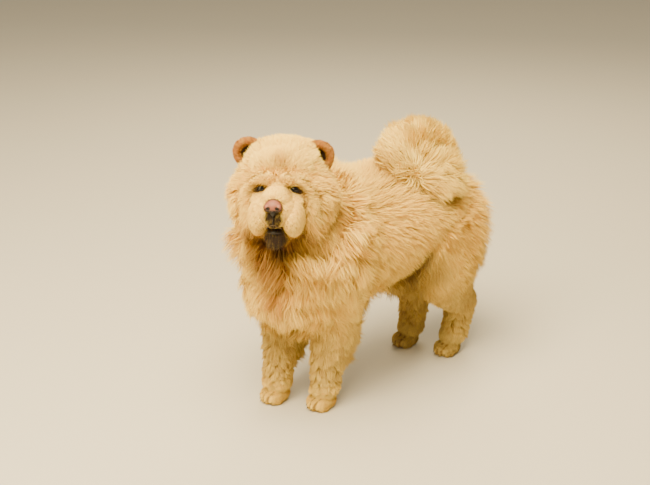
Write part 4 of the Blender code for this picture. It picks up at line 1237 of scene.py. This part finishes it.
def eye_material(colours):
    """Eye: a wet cornea over a dark brown iris, so almost black under a sharp glint."""
    made, tree, place = new_material("wet dark eye")
    flecks = add_node(tree, "ShaderNodeTexNoise", {"Vector": place}, in_Scale=900.0, in_Detail=2.0)
    pupil = add_node(tree, "ShaderNodeAttribute", attribute_name="pupil").outputs["Fac"]
    iris = toned(tree, linear(colours.eye), flecks.outputs["Fac"], 0.3, 0.7, 0.7, 1.6)
    colour = mixed(tree, pupil, iris, linear("#050404"))
    shader = add_node(
        tree, "ShaderNodeBsdfPrincipled", in_Roughness=0.06, in_IOR=1.376, in_Coat_Weight=1.0, in_Coat_Roughness=0.03
    )
    close_material(tree, shader, colour)
    return made


def horn_material(colours):
    """Claw: grown horn, so smooth and waxy with fine streaks along it."""
    made, tree, place = new_material("grown claw horn")
    streaks = add_node(tree, "ShaderNodeTexNoise", {"Vector": place}, in_Scale=350.0, in_Detail=2.0)
    colour = toned(tree, linear(colours.claw), streaks.outputs["Fac"], 0.3, 0.7, 0.7, 1.25)
    shader = add_node(tree, "ShaderNodeBsdfPrincipled", in_Roughness=0.36, in_IOR=1.54)
    close_material(tree, shader, colour)
    return made


def material_of(kind):
    """The shared materials, made once each."""
    colours = bpy.context.scene.chow_colours
    makers = {
        "coat": lambda: hair_material("dry cream fur", colours, False),
        "skin": lambda: hair_material("skin under short cream fur", colours, True),
        "nose": lambda: leather_material(colours),
        "lip": lambda: lip_material(colours),
        "eye": lambda: eye_material(colours),
        "claw": lambda: horn_material(colours),
    }
    key = "chow " + kind
    if key not in bpy.data.materials:
        made = makers[kind]()
        made.name = key
    return bpy.data.materials[key]


def finish_piece(made, kind):
    """Sets a piece from the head's own frame in its place, smooth and with its material."""
    made.data.transform(Matrix.Translation(SHIFT) @ head_place())
    made.data.shade_smooth()
    coat_with(made, material_of(kind))


WORK = {}


def set_marks(mesh, points, ranges):
    """The markings, as attributes on the mesh's points."""
    parts = [markings(points[start:end], name) for name, (start, end) in ranges.items()]
    values = {key: np.concatenate([part[key] for part in parts]) for key in MARKS}
    count = len(points)
    values["tip"] = np.zeros(count)
    values["vary"] = np.full(count, 0.3)
    values["lock"] = np.full(count, 0.5)
    for key, value in values.items():
        set_values(mesh, key, value)


FLESH_NODES = (
    "head", "neck", "torso", "tail_base", "tail_plume", "ear_left", "ear_right", "lower_jaw",
    "thigh_left", "thigh_right", "front_leg_left", "front_leg_right", "hind_leg_left", "hind_leg_right",
    "front_paw_left", "front_paw_right", "hind_paw_left", "hind_paw_right",
)


class ChowSkin(bpy.types.Operator):
    """Builds the skin with its folds, sockets and cupped ears, and unwraps it"""

    bl_idname = "chow.skin"
    bl_label = "Skin"

    def execute(self, context):
        groups = skin_groups()
        ranges = {}
        start = 0
        for name, made in groups.items():
            ranges[name] = (start, start + len(made.data.vertices))
            start = ranges[name][1]
        skin = join(list(groups.values()))
        skin.name = "skin"
        skin.data.transform(Matrix.Translation(SHIFT))
        skin.data.update()
        bpy.ops.object.select_all(action="DESELECT")
        context.view_layer.objects.active = skin
        skin.select_set(True)
        skin.data.uv_layers.new(name="OFBake")
        bpy.ops.object.mode_set(mode="EDIT")
        bpy.ops.mesh.select_all(action="SELECT")
        bpy.ops.uv.smart_project(angle_limit=math.radians(70), island_margin=0.002)
        bpy.ops.object.mode_set(mode="OBJECT")
        skin.data.shade_smooth()
        WORK["flesh"] = Flesh(skin, ranges)
        set_marks(skin.data, WORK["flesh"].points, ranges)
        coat_with(skin, material_of("skin"))
        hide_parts(*FLESH_NODES)
        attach(skin, BODY)
        return {"FINISHED"}


# Where one coat piece of the body ends and the next begins
CHEST_END = -0.10
FLANK_TOP = 0.33
FLANK_FOOT = 0.19
RUFF_FOOT = 0.22
LEG_FOOT = 0.045


def upper(p):
    return (p[:, 1] > CHEST_END) & (p[:, 2] > FLANK_TOP)


def middle(p):
    return (p[:, 1] > CHEST_END) & (p[:, 2] <= FLANK_TOP) & (p[:, 2] > FLANK_FOOT)


def front(p):
    return (p[:, 1] <= CHEST_END) & (p[:, 2] > RUFF_FOOT)


def front_legs(p):
    return (p[:, 1] <= CHEST_END) & (p[:, 2] <= RUFF_FOOT) & (p[:, 2] > LEG_FOOT)


def hind_legs(p):
    return (p[:, 1] > CHEST_END) & (p[:, 2] <= FLANK_FOOT) & (p[:, 2] > LEG_FOOT)


def face(p):
    return in_head(p)[:, 1] < -0.055


# Name, group, where it grows, share of the tufts that lead a clump, pull towards them, and rings of a tuft
COATS = (
    ("coat_back", "body", upper, 0.06, 0.25, 3),
    ("coat_flank", "body", middle, 0.05, 0.30, 4),
    ("ruff", "body", front, 0.016, 0.55, 4),
    ("coat_front_legs", "body", front_legs, 0.022, 0.60, 4),
    ("coat_hind_legs", "body", hind_legs, 0.022, 0.60, 4),
    ("coat_paws", "paws", lambda p: p[:, 2] < 0.070, 0.06, 0.4, 3),
    ("coat_tail", "tail", lambda p: p[:, 2] > 0.44, 0.016, 0.45, 5),
    ("coat_face", "head", face, 0.05, 0.30, 3),
    ("coat_head", "head", lambda p: ~face(p), 0.03, 0.40, 4),
)


class ChowCoat(bpy.types.Operator):
    """Plants the tufts of the whole coat on the skin, piece by piece"""

    bl_idname = "chow.coat"
    bl_label = "Coat"

    def execute(self, context):
        sizes = context.scene.chow_sizes
        flesh = WORK["flesh"]
        trees = reach_trees()
        total = 0
        for number, (name, group, keep, clump, pull, rings) in enumerate(COATS):
            chance = np.random.default_rng(SEED + number)

            def density_at(points, normals):
                plain = LIES[group](points, normals, np.full(len(points), 0.02))
                return plain.density * sizes.fullness

            planted = flesh.plant(group, keep, density_at, chance)
            if planted is None:
                raise RuntimeError("no roots for " + name)
            planted = self.bare_ends(group, planted)
            steps = np.linspace(0, 1, rings)
            most = LARGEST_PIECE // (2 * rings - 3)
            parts = math.ceil(len(planted[0]) / most)
            for part in range(parts):
                some = tuple(values[part::parts] for values in planted)
                roots, normals = some[:2]
                depth = np.full(len(roots), PAW_COAT)
                if group in trees:
                    depth = ray_depths(trees[group], roots, normals, DEEPEST[group], FALLBACK[group])
                    depth = depth * sizes.coat_depth
                lie = LIES[group](roots, normals, depth)
                lie = lie._replace(width=lie.width * sizes.tuft_width)
                label = name + "_%d" % (part + 1) if parts > 1 else name
                made = tufts(label, group, some, lie, chance, steps, clump, pull, material_of("coat"))
                triangles = len(made.data.polygons)
                total += triangles
                print(label, len(roots), "tufts", triangles, "triangles")
        print("coat triangles", total)
        return {"FINISHED"}

    def bare_ends(self, group, planted):
        """Leaves out roots that lie inside another group's flesh."""
        roots, normals, spots = planted
        h = in_head(roots)
        if group == "body":
            inside = np.linalg.norm((h - (0, 0.0, 0.0)) / (0.085, 0.085, 0.085), axis=1) < 1
            inside |= (roots[:, 2] < 0.05)
        elif group == "head":
            neck = np.array((0.030, -0.235, 0.510))
            inside = np.linalg.norm((roots - neck) / (0.052, 0.052, 0.060), axis=1) < 1
        else:
            inside = np.zeros(len(roots), dtype=bool)
        return roots[~inside], normals[~inside], spots[~inside]


class ChowEyes(bpy.types.Operator):
    """Sets the eyeballs and rolls the black lids round them"""

    bl_idname = "chow.eyes"
    bl_label = "Eyes and lids"

    def execute(self, context):
        sizes = context.scene.chow_sizes
        for side, sign in SIDES.items():
            centre = eye_at(sign)
            eye = ball(centre, (sizes.eye_radius - 0.0002,) * 3, rings=24)
            eye.name = "eyeball_" + side
            ways = np.array([(v.co - centre).normalized() for v in eye.data.vertices])
            look = np.array(Vector((0.10 * sign, -1, 0.02)).normalized())
            pupil = smooth(0.86, 0.90, ways @ look)
            set_values(eye.data, "pupil", pupil)
            finish_piece(eye, "eye")
            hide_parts("eye_" + side)
            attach(eye, BODY)
            for name, rise in (("upper", 0.0049), ("lower", -0.0049)):
                lid = self.lid(centre, sign, rise, sizes)
                lid.name = name + "_lid_" + side
                finish_piece(lid, "lip")
                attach(lid, BODY)
        return {"FINISHED"}

    def lid(self, centre, sign, rise, sizes):
        """One lid as a thin roll round the eyeball, from the inner corner to the outer one."""
        stations = []
        for k in range(9):
            share = k / 8
            across = (share - 0.5) * 2 * 0.0094
            up = rise * math.sin(math.pi * share)
            lean, tilt = math.cos(EYE_SLANT), math.sin(EYE_SLANT)
            across, up = across * lean + up * tilt, up * lean - across * tilt
            out = math.sqrt(max((sizes.eye_radius + 0.0004) ** 2 - across**2 - up**2, 1e-6))
            spot = centre + Vector((across * sign, -out, up))
            roll = sizes.lid_roll * (0.55 + 0.45 * math.sin(math.pi * share))
            stations.append((spot, roll * 1.2, roll, 0))
        return tube(stations, side=BACK, spans=3, sides=12)


class ChowMouth(bpy.types.Operator):
    """Shapes the nose pad with its nostrils, and the black lips"""

    bl_idname = "chow.mouth"
    bl_label = "Nose and lips"

    def execute(self, context):
        nose = self.nose(context.scene.chow_sizes)
        finish_piece(nose, "nose")
        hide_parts("nose")
        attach(nose, BODY)
        lips = self.lips()
        finish_piece(lips, "lip")
        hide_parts("lips")
        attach(lips, BODY)
        return {"FINISHED"}

    def nose(self, sizes):
        wide = sizes.nose_half_width
        pieces = [
            ball(NOSE_AT, (wide, 0.0120, 0.0128)),
            ball(NOSE_AT + Vector((0, 0.003, 0.005)), (0.0150, 0.0115, 0.0105)),
            ball(NOSE_AT + Vector((0, -0.003, -0.010)), (0.0060, 0.0080, 0.0090)),
        ]
        for sign in SIDES.values():
            pieces.append(ball(NOSE_AT + mirrored((0.0115, -0.002, -0.002), sign), (0.0080, 0.0100, 0.0085)))
        pad = fuse("nose_pad", pieces, 0.0007, 3)
        for sign in SIDES.values():
            hole = [
                (NOSE_AT + mirrored((0.0070, -0.0135, -0.0015), sign), 0.0032, 0.0038, 0),
                (NOSE_AT + mirrored((0.0110, -0.0115, -0.0045), sign), 0.0026, 0.0030, 0),
                (NOSE_AT + mirrored((0.0165, -0.0085, -0.0060), sign), 0.0013, 0.0017, 0),
            ]
            cut_by(pad, tube(hole, side=UP, sides=12))
        points = np.array([v.co for v in pad.data.vertices]) - np.array(NOSE_AT)
        dark = smooth(-0.003, -0.009, points[:, 2])
        for sign in SIDES.values():
            nostril = blob(points, (0.0095 * sign, -0.0095, -0.0030), (0.0062, 0.0050, 0.0052), 0.6)
            dark = np.maximum(dark, nostril)
        rim = smooth(0.80, 1.0, np.hypot(points[:, 0] / wide, points[:, 2] / 0.0150))
        dark = np.maximum(dark, 0.8 * rim)
        set_values(pad.data, "dark", dark)
        return pad

    def lips(self):
        """The upper lip's pale edge under the nose, the seam above it and the dark lower lip."""
        half = (Vector((0.0150, -0.1350, -0.0745)), Vector((0.0090, -0.1450, -0.0700)))
        line = [mirrored(spot, -1) for spot in half] + [Vector((0, -0.1480, -0.0665))] + list(reversed(half))
        upper = tube([(spot, 0.0009, 0.0011, 0) for spot in line], side=UP, spans=5, sides=10)
        seam = [((0, -0.1535, -0.044), 0.0010, 0.0018, 0), ((0, -0.1490, -0.064), 0.0012, 0.0020, 0)]
        lower = [
            ((-0.018, -0.100, -0.086), 0.0030, 0.0030, 0),
            ((-0.013, -0.118, -0.085), 0.0034, 0.0034, 0),
            ((0.000, -0.127, -0.084), 0.0040, 0.0036, 0),
            ((0.013, -0.118, -0.085), 0.0034, 0.0034, 0),
            ((0.018, -0.100, -0.086), 0.0030, 0.0030, 0),
        ]
        pale = len(upper.data.vertices)
        lips = join([upper, tube(seam, sides=10), tube(lower, side=UP, spans=5, sides=10)])
        lips.name = "lips_and_seam"
        edge = np.zeros(len(lips.data.vertices))
        edge[:pale] = 0.35
        set_values(lips.data, "edge", edge)
        return lips


class ChowClaws(bpy.types.Operator):
    """Gives the part's own claws their horn"""

    bl_idname = "chow.claws"
    bl_label = "Claws"

    def execute(self, context):
        for name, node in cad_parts.items():
            if name.startswith("claw"):
                node.data.materials.clear()
                node.data.materials.append(material_of("claw"))
                soft = node.modifiers.new("round", "SUBSURF")
                soft.levels = 1
                soft.render_levels = 1
        return {"FINISHED"}


FLOOR_HALF = 9
SENSOR_WIDTH = 36


class ChowStudio(bpy.types.Operator):
    """Lays the pale floor, sets the soft lights and places the camera"""

    bl_idname = "chow.studio"
    bl_label = "Studio"

    def execute(self, context):
        stage = context.scene.chow_stage
        colours = context.scene.chow_colours
        edge = FLOOR_HALF
        corners = [(-edge, -edge, 0), (edge, -edge, 0), (edge, edge, 0), (-edge, edge, 0)]
        floor = add_object("floor", mesh_of("floor", corners, [(0, 1, 2, 3)]))
        made, tree, place = new_material("matt painted floor")
        grain = add_node(tree, "ShaderNodeTexNoise", {"Vector": place}, in_Scale=3.0, in_Detail=2.0)
        amount = add_node(tree, "ShaderNodeMath", {0: grain.outputs["Fac"]}, operation="MULTIPLY", in_1=0.08)
        colour = mixed(tree, amount.outputs[0], linear(colours.floor), linear("#C8C3BA"))
        shader = add_node(tree, "ShaderNodeBsdfPrincipled", in_Roughness=0.8)
        close_material(tree, shader, colour)
        floor.data.materials.append(made)
        target = Vector(stage.target) + SHIFT
        flat = math.cos(stage.elevation)
        way = Vector((math.sin(stage.azimuth) * flat, -math.cos(stage.azimuth) * flat, math.sin(stage.elevation)))
        camera = bpy.data.objects.new("camera", bpy.data.cameras.new("camera"))
        context.scene.collection.objects.link(camera)
        camera.data.lens = stage.lens
        camera.data.sensor_width = SENSOR_WIDTH
        camera.location = target + way * stage.distance
        camera.rotation_euler = (-way).to_track_quat("-Z", "Y").to_euler()
        context.scene.camera = camera
        for name, power, size, spot in (
            ("key light", stage.key_power, 2.4, Vector((0.6, -1.3, 3.2))),
            ("fill light", stage.fill_power, 1.8, Vector((0.3, -3.2, 1.6))),
            ("rim light", stage.rim_power, 1.6, Vector((-1.6, 1.8, 2.4))),
        ):
            lamp = bpy.data.lights.new(name, "AREA")
            lamp.energy = power
            lamp.size = size
            lamp.color = linear("#FFE7B4")[:3]
            holder = bpy.data.objects.new(name, lamp)
            context.scene.collection.objects.link(holder)
            holder.location = spot
            holder.rotation_euler = (target - spot).to_track_quat("-Z", "Y").to_euler()
        world = bpy.data.worlds.new("pale room")
        world.use_nodes = True
        sky = world.node_tree.nodes["Background"].inputs
        sky["Color"].default_value = linear("#F6E6C2")
        sky["Strength"].default_value = 0.42
        context.scene.world = world
        return {"FINISHED"}


class ChowPanel(bpy.types.Panel):
    """Lists the steps of the chow chow in the sidebar"""

    bl_idname = "VIEW3D_PT_chow"
    bl_label = "Chow chow"
    bl_space_type = "VIEW_3D"
    bl_region_type = "UI"
    bl_category = "Chow chow"

    def draw(self, context):
        column = self.layout.column()
        for settings in (context.scene.chow_sizes, context.scene.chow_colours, context.scene.chow_stage):
            for name in settings.__annotations__:
                column.prop(settings, name)
        for step in STEPS:
            column.operator(step.bl_idname)


STEPS = (ChowSkin, ChowCoat, ChowEyes, ChowMouth, ChowClaws, ChowStudio)
CLASSES = (ChowSizes, ChowColours, ChowStage) + STEPS + (ChowPanel,)


def register():
    for kind in CLASSES:
        bpy.utils.register_class(kind)
    bpy.types.Scene.chow_sizes = PointerProperty(type=ChowSizes)
    bpy.types.Scene.chow_colours = PointerProperty(type=ChowColours)
    bpy.types.Scene.chow_stage = PointerProperty(type=ChowStage)


def unregister():
    del bpy.types.Scene.chow_stage
    del bpy.types.Scene.chow_colours
    del bpy.types.Scene.chow_sizes
    for kind in reversed(CLASSES):
        bpy.utils.unregister_class(kind)


def main():
    register()
    bpy.ops.chow.skin()
    bpy.ops.chow.coat()
    bpy.ops.chow.eyes()
    bpy.ops.chow.mouth()
    bpy.ops.chow.claws()
    bpy.ops.chow.studio()


if __name__ == "__main__":
    main()
